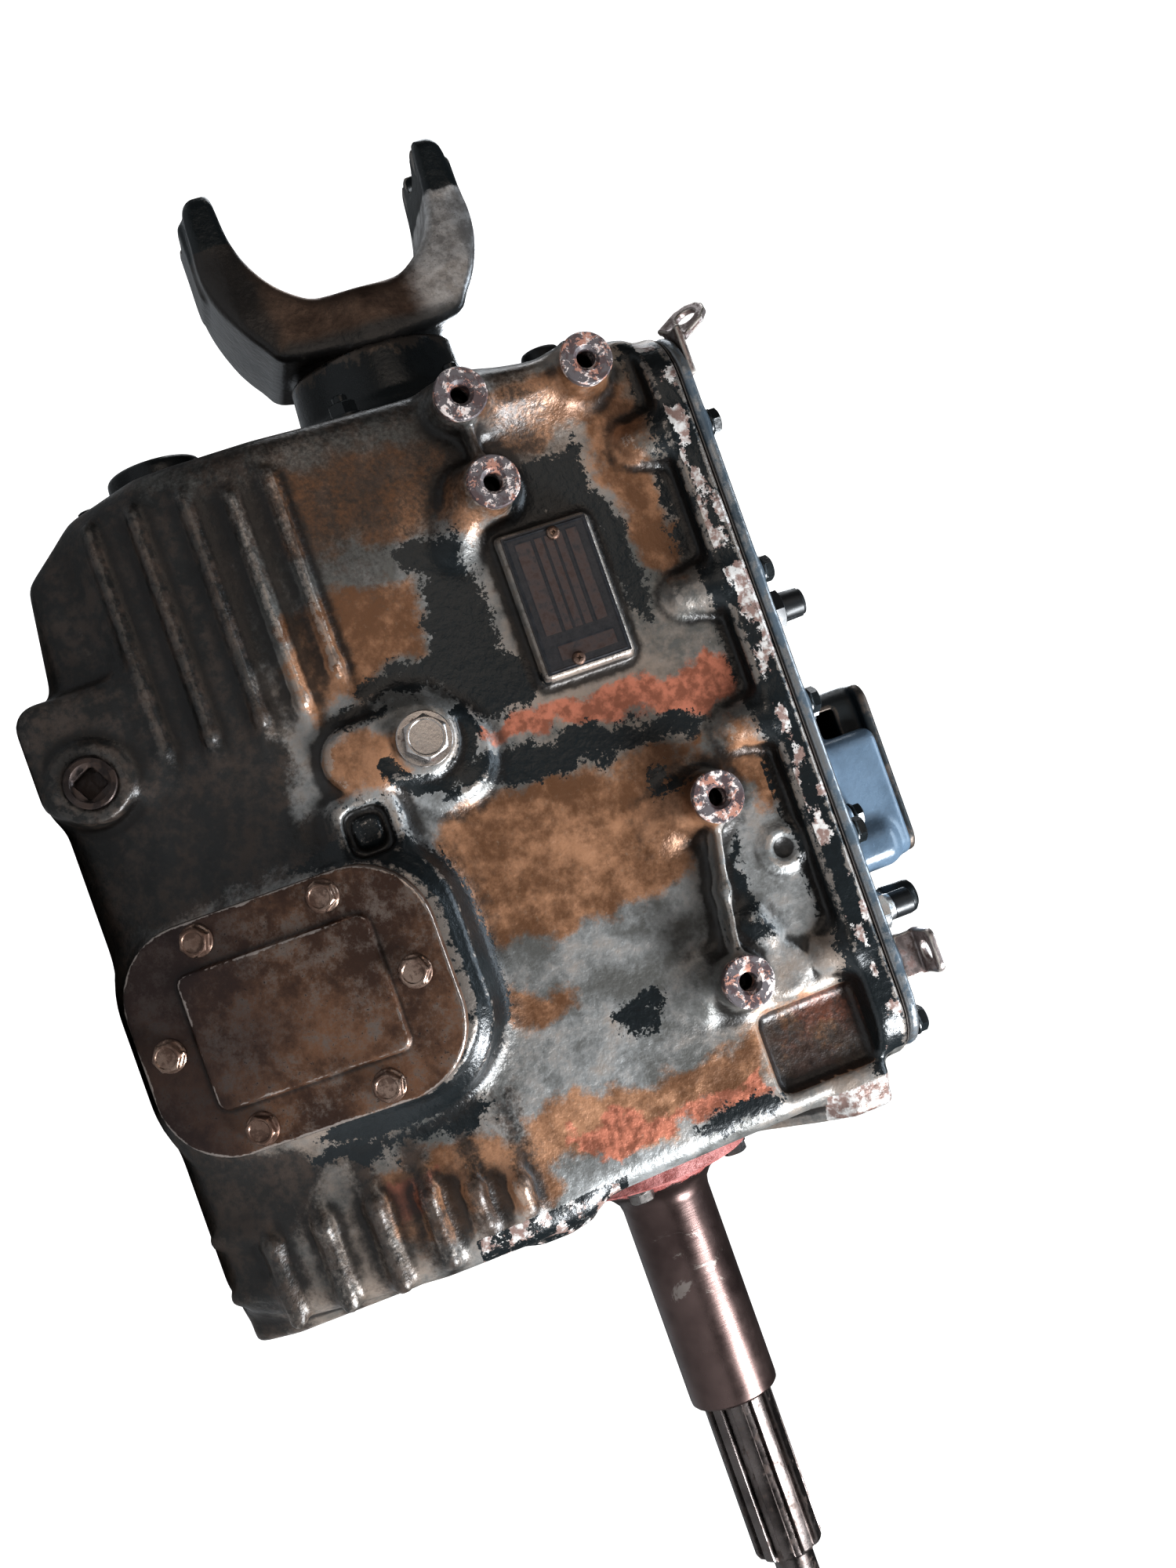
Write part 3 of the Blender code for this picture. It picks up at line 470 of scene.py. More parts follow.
class Look:
    def __init__(self, name):
        self.m = bpy.data.materials.new(name)
        self.m.use_nodes = True
        self.nt = self.m.node_tree
        self.bsdf = self.nt.nodes["Principled BSDF"]
        self.co = self.nt.nodes.new("ShaderNodeTexCoord").outputs["Object"]

    def node(self, kind, **sockets):
        n = self.nt.nodes.new(kind)
        for k, v in sockets.items():
            self.put(n.inputs[k], v)
        return n

    def put(self, socket, v):
        if isinstance(v, bpy.types.NodeSocket):
            self.nt.links.new(v, socket)
        else:
            socket.default_value = v

    def attr(self, name):
        n = self.nt.nodes.new("ShaderNodeAttribute")
        n.attribute_type, n.attribute_name = "GEOMETRY", name
        return n.outputs["Fac"]

    def noise(self, scale, detail=3.0, rough=0.55, stretch=None, distortion=0.0):
        vec = self.co
        if stretch:
            m = self.nt.nodes.new("ShaderNodeMapping")
            m.inputs["Scale"].default_value = stretch
            self.nt.links.new(self.co, m.inputs["Vector"])
            vec = m.outputs["Vector"]
        n = self.node("ShaderNodeTexNoise", Vector=vec, Scale=scale, Detail=detail, Roughness=rough, Distortion=distortion)
        return n.outputs["Fac"]

    def math(self, op, a, b=0.0, clamp=False):
        n = self.nt.nodes.new("ShaderNodeMath")
        n.operation, n.use_clamp = op, clamp
        self.put(n.inputs[0], a)
        self.put(n.inputs[1], b)
        return n.outputs[0]

    def add(self, a, b):
        return self.math("ADD", a, b)

    def mul(self, a, b):
        return self.math("MULTIPLY", a, b)

    def step(self, x, lo, hi):
        n = self.nt.nodes.new("ShaderNodeMapRange")
        n.interpolation_type = "SMOOTHSTEP"
        self.put(n.inputs["Value"], x)
        n.inputs["From Min"].default_value, n.inputs["From Max"].default_value = lo, hi
        return n.outputs["Result"]

    def remap(self, x, lo, hi, a, b):
        n = self.nt.nodes.new("ShaderNodeMapRange")
        self.put(n.inputs["Value"], x)
        for k, v in (("From Min", lo), ("From Max", hi), ("To Min", a), ("To Max", b)):
            n.inputs[k].default_value = v
        return n.outputs["Result"]

    def mix(self, fac, a, b):
        n = self.nt.nodes.new("ShaderNodeMix")
        n.data_type = "RGBA"
        self.put(n.inputs[0], fac)
        for s, v in ((n.inputs[6], a), (n.inputs[7], b)):
            self.put(s, (*v, 1) if isinstance(v, tuple) and len(v) == 3 else v)
        return n.outputs[2]

    def blend(self, fac, a, b):
        """Plain numbers blended by fac."""
        n = self.nt.nodes.new("ShaderNodeMix")
        n.data_type = "FLOAT"
        self.put(n.inputs[0], fac)
        self.put(n.inputs[2], a)
        self.put(n.inputs[3], b)
        return n.outputs[0]

    def axis(self, i):
        n = self.nt.nodes.new("ShaderNodeSeparateXYZ")
        self.nt.links.new(self.co, n.inputs[0])
        return n.outputs[i]

    def bump(self, layers):
        """layers: (height, distance in metres, strength)."""
        normal = None
        for height, distance, strength in layers:
            n = self.node("ShaderNodeBump", Height=height, Distance=distance, Strength=strength)
            if normal is not None:
                self.nt.links.new(normal, n.inputs["Normal"])
            normal = n.outputs["Normal"]
        self.nt.links.new(normal, self.bsdf.inputs["Normal"])

    def set(self, colour=None, rough=None, metal=None, **more):
        for key, v in (("Base Color", colour), ("Roughness", rough), ("Metallic", metal)):
            if v is not None:
                self.put(self.bsdf.inputs[key], (*v, 1) if isinstance(v, tuple) and len(v) == 3 else v)
        for k, v in more.items():
            self.put(self.bsdf.inputs[k], v)
        return self.m


def masked(L, field, ragged, fine, spread=1.5, speck=0.55, lo=-0.04, hi=0.05):
    """A patch with a ragged, speckled edge: its signed field plus two noises, then a narrow step."""
    v = L.add(field, L.mul(L.add(ragged, -0.5), spread))
    v = L.add(v, L.mul(L.add(fine, -0.5), speck))
    return L.step(v, lo, hi)


def cast_look(name):
    """Grey paint over cast iron with brown, red and black patches, rubbed edges and dark grime; the black mask also
    holds painted shade round the fill plug and core mark, the grime mask holds painted shade low on the case and toward
    the rear, and hollows get painted shade.
    """
    L = Look(name)
    ragged = L.noise(60, 8, 0.68)
    broad = L.noise(13, 5, 0.6)
    fine = L.noise(420, 4, 0.7)
    grain = L.noise(170, 4, 0.6)
    mott = L.noise(48, 7, 0.72)
    wide = L.noise(6.5, 4, 0.6)
    grey = L.mix(L.step(L.add(broad, L.mul(L.add(mott, -0.5), 0.8)), 0.34, 0.66), (0.105, 0.103, 0.096), (0.295, 0.300, 0.298))
    grey = L.mix(L.mul(L.step(L.add(wide, L.mul(L.add(mott, -0.5), 0.7)), 0.42, 0.66), 0.65), grey, (0.235, 0.165, 0.115))
    grey = L.mix(L.mul(L.step(fine, 0.62, 0.80), 0.5), grey, (0.30, 0.30, 0.285))
    brown = L.mix(L.step(L.add(broad, L.mul(L.add(mott, -0.5), 0.9)), 0.34, 0.66), (0.125, 0.060, 0.029), (0.375, 0.208, 0.122))
    brown = L.mix(L.mul(L.step(fine, 0.58, 0.78), 0.5), brown, (0.26, 0.20, 0.15))
    red = L.mix(L.step(L.add(grain, L.mul(L.add(mott, -0.5), 0.8)), 0.36, 0.64), (0.22, 0.085, 0.052), (0.42, 0.165, 0.105))
    b = masked(L, L.attr("brown"), ragged, fine, 2.6, 0.9, -0.42, 0.42)
    r = masked(L, L.attr("red"), ragged, fine, 2.2, 0.8, -0.22, 0.22)
    # The black mask also carries painted shade round the fill plug and the core mark.
    k = masked(L, L.attr("black"), ragged, fine, 2.0, 2.0, -0.05, 0.10)
    g = masked(L, L.attr("grime_and_shade"), mott, fine, 2.4, 1.6, -0.6, 0.5)
    colour = L.mix(b, grey, brown)
    colour = L.mix(r, colour, red)
    # Grime with painted shade: near black wherever the grime mask lies.
    dark = L.mix(L.step(L.add(grain, L.mul(L.add(mott, -0.5), 1.2)), 0.36, 0.72), (0.0055, 0.0050, 0.0045), (0.040, 0.026, 0.019))
    colour = L.mix(L.mul(g, 0.93), colour, dark)
    colour = L.mix(k, colour, L.mix(fine, (0.0035, 0.0055, 0.0065), (0.010, 0.014, 0.016)))
    # Darker in hollows and at rib roots: settled grime together with painted shade.
    cav = L.step(L.add(L.mul(L.attr("wear"), -1.0), L.mul(L.add(grain, -0.5), 0.6)), 0.08, 0.50)
    colour = L.mix(L.mul(cav, 0.88), colour, (0.009, 0.007, 0.006))
    edge = L.step(L.add(L.attr("wear"), L.mul(L.add(L.noise(150, 5, 0.75), -0.5), 2.6)), 0.82, 1.05)
    edge = L.mul(edge, L.math("SUBTRACT", 1.0, L.mul(g, 0.85)))
    colour = L.mix(L.mul(edge, 0.55), colour, (0.42, 0.37, 0.33))
    flake = L.attr("flake")
    fl = masked(L, flake, L.noise(105, 7, 0.74), fine, 2.2, 0.9)
    colour = L.mix(fl, colour, L.mix(L.step(grain, 0.42, 0.6), (0.22, 0.15, 0.13), (0.52, 0.50, 0.48)))
    rough = L.blend(k, L.remap(grain, 0.3, 0.7, 0.30, 0.44), 0.30)
    rough = L.blend(edge, rough, 0.34)
    metal = L.blend(L.math("MAXIMUM", k, L.mul(g, 0.8)), 0.30, 0.0)
    metal = L.blend(edge, metal, 0.6)
    L.bump([(L.noise(30, 3, 0.5), 0.004, 0.25), (L.noise(260, 3, 0.55), 0.0010, 0.42), (L.noise(900, 2, 0.6), 0.0003, 0.3)])
    L.bsdf.inputs["Specular IOR Level"].default_value = 0.5
    return L.set(colour, rough, metal)


def brown_cover_look(name):
    L = Look(name)
    broad, mid, fine = L.noise(16, 4, 0.6), L.noise(75, 6, 0.7), L.noise(520, 4, 0.7)
    colour = L.mix(L.step(L.add(broad, L.mul(L.add(mid, -0.5), 0.7)), 0.35, 0.68), (0.052, 0.024, 0.014), (0.190, 0.098, 0.055))
    colour = L.mix(L.step(L.add(mid, L.mul(fine, 0.5)), 0.70, 0.95), colour, (0.16, 0.125, 0.105))
    colour = L.mix(L.step(fine, 0.60, 0.70), colour, (0.030, 0.017, 0.013))
    # Painted shade: the dark attribute darkens one side of the cover across the view, and a soft spot at its middle.
    colour = L.mix(L.mul(L.step(L.attr("dark"), 0.0, 1.0), 0.75), colour, (0.026, 0.016, 0.016))
    # Painted shade: darker in hollows.
    cav = L.step(L.mul(L.attr("wear"), -1.0), 0.10, 0.7)
    colour = L.mix(L.mul(cav, 0.8), colour, (0.013, 0.010, 0.009))
    edge = L.step(L.add(L.attr("wear"), L.mul(L.add(L.noise(70, 4, 0.7), -0.5), 2.0)), 0.66, 0.9)
    colour = L.mix(L.mul(edge, 0.7), colour, (0.50, 0.44, 0.40))
    L.bump([(L.noise(40, 3, 0.5), 0.002, 0.12), (L.noise(420, 3, 0.6), 0.0006, 0.4)])
    return L.set(colour, L.blend(edge, L.remap(mid, 0.3, 0.7, 0.36, 0.52), 0.28), L.blend(edge, 0.45, 0.9))


def paint_look(name, dark, light, rough=0.34, wear=(0.30, 0.28, 0.26), bump=0.3, edge_at=0.62, chips=0.0, metal=0.0):
    """Satin paint over a cast or pressed surface, rubbed through at its edges."""
    L = Look(name)
    broad, mid, fine = L.noise(14, 4, 0.6), L.noise(90, 6, 0.7), L.noise(480, 4, 0.7)
    colour = L.mix(L.step(broad, 0.35, 0.65), dark, light)
    colour = L.mix(L.mul(L.step(fine, 0.62, 0.72), 0.35), colour, tuple(min(1, c * 2.2 + 0.02) for c in light))
    # Painted shade: darker in hollows.
    cav = L.step(L.mul(L.attr("wear"), -1.0), 0.1, 0.8)
    colour = L.mix(L.mul(cav, 0.6), colour, tuple(c * 0.3 for c in dark))
    edge = L.step(L.add(L.attr("wear"), L.mul(L.add(mid, -0.5), 1.6)), edge_at, edge_at + 0.22)
    if chips:
        edge = L.math("MAXIMUM", edge, L.mul(L.step(mid, 1.0 - chips - 0.03, 1.0 - chips), 0.8))
    colour = L.mix(L.mul(edge, 0.7), colour, wear)
    L.bump([(L.noise(300, 3, 0.55), 0.0007, bump), (L.noise(45, 3, 0.5), 0.002, bump * 0.5)])
    return L.set(colour, L.remap(mid, 0.3, 0.7, rough - 0.06, rough + 0.1), L.blend(edge, metal, 0.8))


def steel_look(name, dark, light, rough=0.34, metal=1.0, stain=(0.05, 0.03, 0.022), stain_at=0.58, brushed=None, wear=False):
    """Machined or rolled steel, browned and stained."""
    L = Look(name)
    broad, mid, fine = L.noise(22, 4, 0.6), L.noise(130, 5, 0.65), L.noise(700, 3, 0.6)
    colour = L.mix(L.step(broad, 0.35, 0.65), dark, light)
    st = L.step(L.add(mid, L.mul(fine, 0.25)), stain_at + 0.06, stain_at + 0.2)
    colour = L.mix(L.mul(st, 0.8), colour, stain)
    if wear:
        edge = L.step(L.add(L.attr("wear"), L.mul(L.add(mid, -0.5), 1.3)), 0.45, 0.75)
        # Painted shade: darker in hollows.
        cav = L.step(L.mul(L.attr("wear"), -1.0), 0.1, 0.8)
        colour = L.mix(L.mul(cav, 0.75), colour, (0.012, 0.010, 0.009))
        colour = L.mix(L.mul(edge, 0.8), colour, (0.5, 0.46, 0.42))
    lines = L.noise(60, 3, 0.6, stretch=brushed) if brushed else mid
    L.bump([(lines, 0.00025, 0.35), (fine, 0.00015, 0.3)])
    return L.set(colour, L.blend(st, L.remap(lines, 0.3, 0.7, rough - 0.06, rough + 0.08), min(1, rough + 0.25)), L.blend(st, metal, metal * 0.4))


def boss_look():
    """Machined boss faces: pale primer with ragged flakes of dark paint left on it."""
    L = Look("boss_faces")
    mid, fine = L.noise(95, 5, 0.65), L.noise(620, 3, 0.6)
    other = L.noise(150, 6, 0.7, distortion=0.4)
    colour = L.mix(L.step(L.add(mid, L.mul(L.add(fine, -0.5), 0.3)), 0.44, 0.54), (0.40, 0.21, 0.16), (0.72, 0.64, 0.61))
    dark = L.step(L.add(other, L.mul(L.add(fine, -0.5), 0.25)), 0.455, 0.485)
    colour = L.mix(L.mul(dark, 0.88), colour, (0.045, 0.040, 0.050))
    L.bump([(dark, 0.00025, 0.5), (fine, 0.00015, 0.3)])
    return L.set(colour, L.remap(mid, 0.3, 0.7, 0.34, 0.48), 0.0)


M = {}
M["cast"] = cast_look("worn_cast_iron")
M["brown"] = brown_cover_look("browned_cover")
M["black"] = paint_look("black_satin", (0.004, 0.006, 0.007), (0.009, 0.013, 0.015), 0.28, wear=(0.16, 0.13, 0.11), edge_at=0.8)
M["cover"] = paint_look("blue_grey_satin", (0.048, 0.064, 0.078), (0.090, 0.118, 0.144), 0.32, wear=(0.36, 0.36, 0.36), edge_at=0.72)
M["housing"] = paint_look("housing_satin", (0.085, 0.122, 0.162), (0.145, 0.200, 0.262), 0.28, wear=(0.36, 0.36, 0.36), edge_at=0.75)
# Near-black tower paint: partly its own dark finish, partly painted shade for its shaded, darkly reflecting faces.
M["tower"] = paint_look("tower_satin_and_shade", (0.005, 0.007, 0.008), (0.011, 0.015, 0.017), 0.46, wear=(0.16, 0.13, 0.11), edge_at=0.8)
M["steel"] = steel_look("dark_steel", (0.11, 0.10, 0.095), (0.24, 0.225, 0.215), 0.32)
M["bright"] = steel_look("bright_steel", (0.34, 0.31, 0.30), (0.55, 0.52, 0.50), 0.26, stain=(0.13, 0.07, 0.05), stain_at=0.62)
M["bolt"] = steel_look("browned_bolts", (0.16, 0.095, 0.07), (0.36, 0.27, 0.22), 0.30, stain=(0.07, 0.035, 0.022), stain_at=0.50)
M["gear"] = steel_look("ground_steel", (0.34, 0.33, 0.31), (0.48, 0.47, 0.45), 0.26, stain=(0.12, 0.10, 0.07), stain_at=0.7, brushed=(1, 9, 9))
M["zinc"] = steel_look("zinc_plate", (0.45, 0.46, 0.47), (0.66, 0.67, 0.68), 0.30, stain=(0.30, 0.29, 0.25), stain_at=0.6)
M["boss"] = boss_look()
M["shaft"] = steel_look("browned_shaft", (0.045, 0.038, 0.036), (0.115, 0.100, 0.095), 0.28, stain_at=0.6)
M["drain"] = steel_look("dark_plug", (0.045, 0.036, 0.034), (0.12, 0.10, 0.095), 0.34, stain_at=0.52)
M["eye"] = steel_look("eye_strips", (0.22, 0.18, 0.17), (0.42, 0.37, 0.36), 0.34, metal=0.8, stain=(0.10, 0.055, 0.045), stain_at=0.52, wear=True)


def plain_look(name, dark, light, rough, scale=300, bump=0.4):
    L = Look(name)
    colour = L.mix(L.noise(scale, 4, 0.6), dark, light)
    L.bump([(L.noise(scale * 2, 3, 0.6), 0.0004, bump)])
    return L.set(colour, L.remap(L.noise(scale / 3, 3), 0.3, 0.7, rough - 0.08, rough + 0.08), None)


M["gasket"] = plain_look("gasket_fibre", (0.020, 0.018, 0.016), (0.085, 0.07, 0.06), 0.8)
M["rubber"] = plain_look("nitrile_rubber", (0.010, 0.010, 0.010), (0.024, 0.024, 0.025), 0.62)
M["plastic"] = plain_look("connector_plastic", (0.008, 0.009, 0.010), (0.018, 0.020, 0.022), 0.38, 200, 0.2)


def quill_look():
    L = Look("quill_and_flange")
    x = L.axis(0)
    broad, mid, fine = L.noise(14, 4, 0.6), L.noise(95, 6, 0.7), L.noise(600, 3, 0.6)
    tube = L.mix(L.step(broad, 0.35, 0.65), (0.042, 0.027, 0.025), (0.100, 0.070, 0.064))
    smear = L.mul(L.step(L.noise(34, 7, 0.75, distortion=0.6), 0.60, 0.66), L.step(L.math("ABSOLUTE", L.add(x, -(ORIGIN[0] + 82) * MM)), 0.042, 0.018))
    tube = L.mix(L.mul(smear, 0.4), tube, (0.36, 0.33, 0.30))
    red = L.mix(L.step(mid, 0.36, 0.60), (0.20, 0.050, 0.043), (0.36, 0.150, 0.140))
    front = L.step(L.add(x, L.mul(L.add(mid, -0.5), 0.010)), (ORIGIN[0] + 22.0) * MM, (ORIGIN[0] + 20.5) * MM)
    L.bump([(L.mul(mid, front), 0.003, 0.7), (L.noise(60, 3, 0.6, stretch=(12, 1, 1)), 0.0002, 0.3)])
    return L.set(L.mix(front, tube, red), L.blend(front, L.remap(mid, 0.3, 0.7, 0.26, 0.38), 0.45), L.blend(front, 0.85, 0.0))


M["quill"] = quill_look()


def yoke_look():
    """Forged yoke: black painted tips, brown saddle, and a pale upper (cover) side painted as a highlight."""
    L = Look("forged_yoke")
    x, z = L.axis(0), L.axis(2)
    broad, mid, fine = L.noise(20, 5, 0.65), L.noise(100, 6, 0.7), L.noise(520, 4, 0.7)
    body = L.mix(L.step(broad, 0.36, 0.64), (0.060, 0.036, 0.026), (0.17, 0.115, 0.085))
    # Painted highlight: the upper (cover) side of the yoke is pale where the key light falls.
    pale = L.mix(L.step(mid, 0.38, 0.62), (0.40, 0.385, 0.375), (0.66, 0.65, 0.645))
    up = L.step(L.add(L.add(z, -ORIGIN[2] * MM), L.mul(L.add(broad, -0.5), 0.05)), 0.022, 0.048)
    colour = L.mix(up, body, pale)
    colour = L.mix(L.mul(L.step(fine, 0.58, 0.70), 0.5), colour, (0.040, 0.025, 0.02))
    tip = L.step(L.add(L.add(x, -(ORIGIN[0] - 607.0) * MM), L.mul(L.add(mid, -0.5), 0.008)), 0.0014, -0.0014)
    hub = L.step(L.add(x, L.mul(L.add(broad, -0.5), 0.02)), (ORIGIN[0] - 540) * MM, (ORIGIN[0] - 531) * MM)
    low = L.step(L.add(L.add(z, -ORIGIN[2] * MM), L.mul(L.add(broad, -0.5), 0.03)), -0.046, -0.062)
    black = L.math("MAXIMUM", tip, L.mul(hub, 0.85))
    black = L.math("MAXIMUM", black, L.mul(low, 0.8))
    colour = L.mix(black, colour, L.mix(mid, (0.006, 0.010, 0.012), (0.018, 0.024, 0.027)))
    # Painted shade: darker in hollows.
    cav = L.step(L.mul(L.attr("wear"), -1.0), 0.12, 0.8)
    colour = L.mix(L.mul(cav, 0.75), colour, (0.014, 0.010, 0.009))
    edge = L.step(L.add(L.attr("wear"), L.mul(L.add(mid, -0.5), 1.5)), 0.55, 0.8)
    colour = L.mix(L.mul(edge, 0.6), colour, (0.45, 0.41, 0.37))
    L.bump([(L.noise(230, 3, 0.55), 0.0008, 0.45), (L.noise(40, 3, 0.5), 0.002, 0.2)])
    return L.set(colour, L.blend(black, L.remap(mid, 0.3, 0.7, 0.32, 0.5), 0.28), L.blend(black, 0.6, 0.0))


M["yoke"] = yoke_look()


def plate_look():
    L = Look("rubbed_plate")
    broad, mid, fine = L.noise(34, 5, 0.65), L.noise(160, 6, 0.7), L.noise(700, 3, 0.7)
    metal = L.mix(L.step(mid, 0.35, 0.65), (0.070, 0.052, 0.050), (0.17, 0.125, 0.115))
    v = L.add(L.attr("print"), L.mul(L.add(mid, -0.5), 1.2))
    colour = L.mix(L.mul(L.step(v, 0.22, 0.62), 0.85), metal, L.mix(fine, (0.016, 0.022, 0.028), (0.050, 0.058, 0.066)))
    L.bump([(mid, 0.0003, 0.3)])
    return L.set(colour, L.remap(mid, 0.3, 0.7, 0.28, 0.44), 0.7)


M["plate"] = plate_look()

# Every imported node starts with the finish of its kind.
KIND = {
    "gear": ["countershaft", "counter_drive_gear", "counter_fourth_gear", "counter_third_gear", "fourth_gear", "third_gear", "second_gear", "first_gear",
             "reverse_gear", "reverse_idler_gear", "clutch_hub_45", "clutch_hub_23", "clutch_hub_1r", "shift_sleeve_45", "shift_sleeve_23", "shift_sleeve_1r",
             "shift_fork_45", "shift_fork_23", "shift_fork_1r"],
    "gasket": ["top_cover_gasket", "pto_gasket"],
    "rubber": ["front_seal", "rear_seal"],
    "bright": ["input_bearing", "output_bearing", "pilot_bearing", "counter_front_bearing", "counter_rear_bearing"],
}
for kind, names in KIND.items():
    for n in names:
        frame["nodes"][n].data.materials.clear()
        frame["nodes"][n].data.materials.append(M[kind])
for n, ob in frame["nodes"].items():
    if not any(n in names for names in KIND.values()):
        ob.data.materials.clear()
        ob.data.materials.append(M["steel"])

# ------------------------------------------------------------------ the cast case

WALL = ((-267, 86), (-255, 104), (-215, 123), (-150, 140), (-100, 144), (-60, 139), (20, 134), (118, 131))


def wall_y(z):
    return float(np.interp(z, [p[0] for p in WALL], [p[1] for p in WALL]))


NEAR = [(-wall_y(z), z) for z in (129, 20, -60, -100, -150, -185, -215, -238, -255, -267)]
FAR = [(86, -267), (106, -255), (127, -215), (148, -150), (152, -112), (147, -70), (137, -20), (131, 129)]
SIDE = [
    (-466, 130), (-466, -166), (-456, -205), (-431, -238), (-366, -247), (-353, -264),
    (-346, -267), (-32, -267), (-15, -259), (-5, -226), (-1, -150), (-1, -64), (-8, -50), (-8, 130),
]
BOSSES = {"a": (-450, 88), "b": (-451, 14), "c": (-400, 15), "d": (-197, 75), "e": (-95.5, 56)}
T = math.radians(18)
PTO = np.array([-166.5, -150.0, -180.0])
PTO_B = np.array([[1, 0, 0], [0, -math.sin(T), math.cos(T)], [0, -math.cos(T), -math.sin(T)]])
FILL_AT = (-280.0, -67.0)
PTO_BOLTS = [(-52.4, -36.4), (-52.4, 35.6), (0.4, 69.0), (52.4, 35.6), (52.4, -36.4), (0.4, -71.0)]
OUT = axes((0, -1, 0), (1, 0, 0))  # local Z out of the camera side


def on_pto(x, y, z=0.0):
    return PTO + np.array([x, y, z]) @ PTO_B


def build_case():
    h = 2.15
    F = Field((-482, -160, -268), (5, 158, 142), h)
    s, X, Y, Z = F.window(F.lo, F.lo + F.n * h, 0)
    body = smax(sd_poly(NEAR + FAR, Y, Z), sd_poly(SIDE, X, Z), 16)
    F.D[s] = np.minimum(F.D[s], smax(body, np.abs(X + 233) - 240, 0)).astype(np.float32)
    F.soften(2)

    # Recesses in the skin: the lower rear corner and the pocket by the front flange.
    carved = []

    def carve(shape, k, skin):
        F.cut(shape, k)
        carved.append((shape, skin))

    for side in (-1, 1):
        y = lambda a, b: (a, b) if side < 0 else (-b, -a)
        y0, y1 = y(-170, -116)
        carve(rbox((-446, y0, -300), (-358, y1, -209), 10), 10, 6)
    carve(rbox((-71, -170, 60), (-23, -124, 123), 6), 4, 6)
    carve(rbox((-71, 124, 60), (-23, 170, 123), 6), 4, 6)

    # Front flange, then the ribs that run into it.
    FRONT = [
        (-84, -258), (-98, -236), (-104, -170), (-101, -146), (-94, -128), (-106, -110), (-124, -97),
        (-126, -78), (-116, -62), (-84, -46), (-73, -20), (-73, 52), (-112, 80), (-131, 96), (-132, 122),
        (132, 122), (131, 96), (112, 80), (73, 52), (73, -20), (84, -46), (116, -62), (126, -78), (124, -97),
        (106, -110), (94, -128), (101, -146), (104, -170), (98, -236), (84, -258),
    ]
    F.add(prism(FRONT, "x", -17, 4, 2.5), 7)
    for side in (-1, 1):
        for z, x0, x1 in ((-198, -448, -300), (-173, -449, -299), (-145, -447, -298), (-121, -440, -300), (-98, -445, -313)):
            y = wall_y(z) + (0 if side < 0 else 5)
            a = (x0, side * (y + 3.2), z)
            b = (x1 - 20, side * (y + 3.2), z)
            F.add(rod(a, b, 3.2, 3.2, 1.5), 5)
            F.add(blob(b, (x1, side * (y - 3.0), z), 3.1, 1.8), 5)
        for z, x0, x1 in ((-232, -74, -3), (-203, -76, -3), (-174, -76, -4), (-146, -73, -8), (-122, -66, -20), (-98, -60, -20)):
            y = wall_y(z) + (0 if side < 0 else 5)
            F.add(blob((x0 - 2, side * (y - 5), z), (x0 + 22, side * (y + 3.2), z), 1.2, 4.3), 5)
            F.add(rod((x0 + 21, side * (y + 3.2), z), (x1, side * (y + 1.6), z), 4.4, 4.8, 2.4), 7)
        for x in (-60, -27):
            F.add(rod((x, side * 112, -236), (x, side * 96, -263), 3.6, 3.6, 1.5), 7)
    F.soften(1)

    # Deck band with the bolt bosses hanging under it.
    F.add(prism(rounded(444, 286, 34, -240, 0), "z", 123, 142, 2.0), 6)
    for x, z0 in ((-402, 105), (-311, 103), (-230, 105), (-90, 112)):
        for side in (-1, 1):
            F.add(blob((x, side * 129, 122), (x, side * 129.5, z0), 17, 12), 6)

    # Side bosses: cast posts that flare into the wall, and their webs.
    for key, (x, z) in BOSSES.items():
        F.add(rod((x, -112, z), (x, -151, z), 20.5, 14.6, 0.5), 9)
        F.add(rod((x, -140, z), (x, -158.5, z), 14.6, 14.6, 0.5), 0)
    F.add(rbox((-460, -147, 18), (-442, -110, 86), 5), 12)
    F.add(blob((-448, -128, 30), (-436, -124, 70), 16, 14), 16)
    F.add(blob((-400, -141, 5), (-376, -131, -13), 13, 9), 12)
    F.add(rod((-197, -128, 62), (-190, -126, 40), 15, 9, 3), 14)
    F.add(prism(stadium(-451, 14, -400, 15, 2.4), "y", -152, -112, 1.4), 6)
    F.add(prism(stadium(-197, 75, -146, 64, 2.3) , "y", -151, -112, 1.4), 6)
    F.add(prism(stadium(-146, 64, -95.5, 56, 2.3), "y", -151, -112, 1.4), 6)
    F.add(rod((-96, -128, 38), (-99, -124, 22), 14, 9, 3), 14)

    # Raised marks between the posts and the deck.
    F.add(blob((-122, -129, 76), (-112, -129, 82), 9.5, 8.5), 8)
    F.add(rod((-90, -126, 84), (-90, -135.5, 84), 17, 15, 1.5), 3)
    F.add(rod((-156, -124, 109), (-156, -134.5, 109), 14, 12, 2), 5)
    F.cut(rod((-156, -131, 109), (-156, -142, 109), 6, 9, 1), 2)

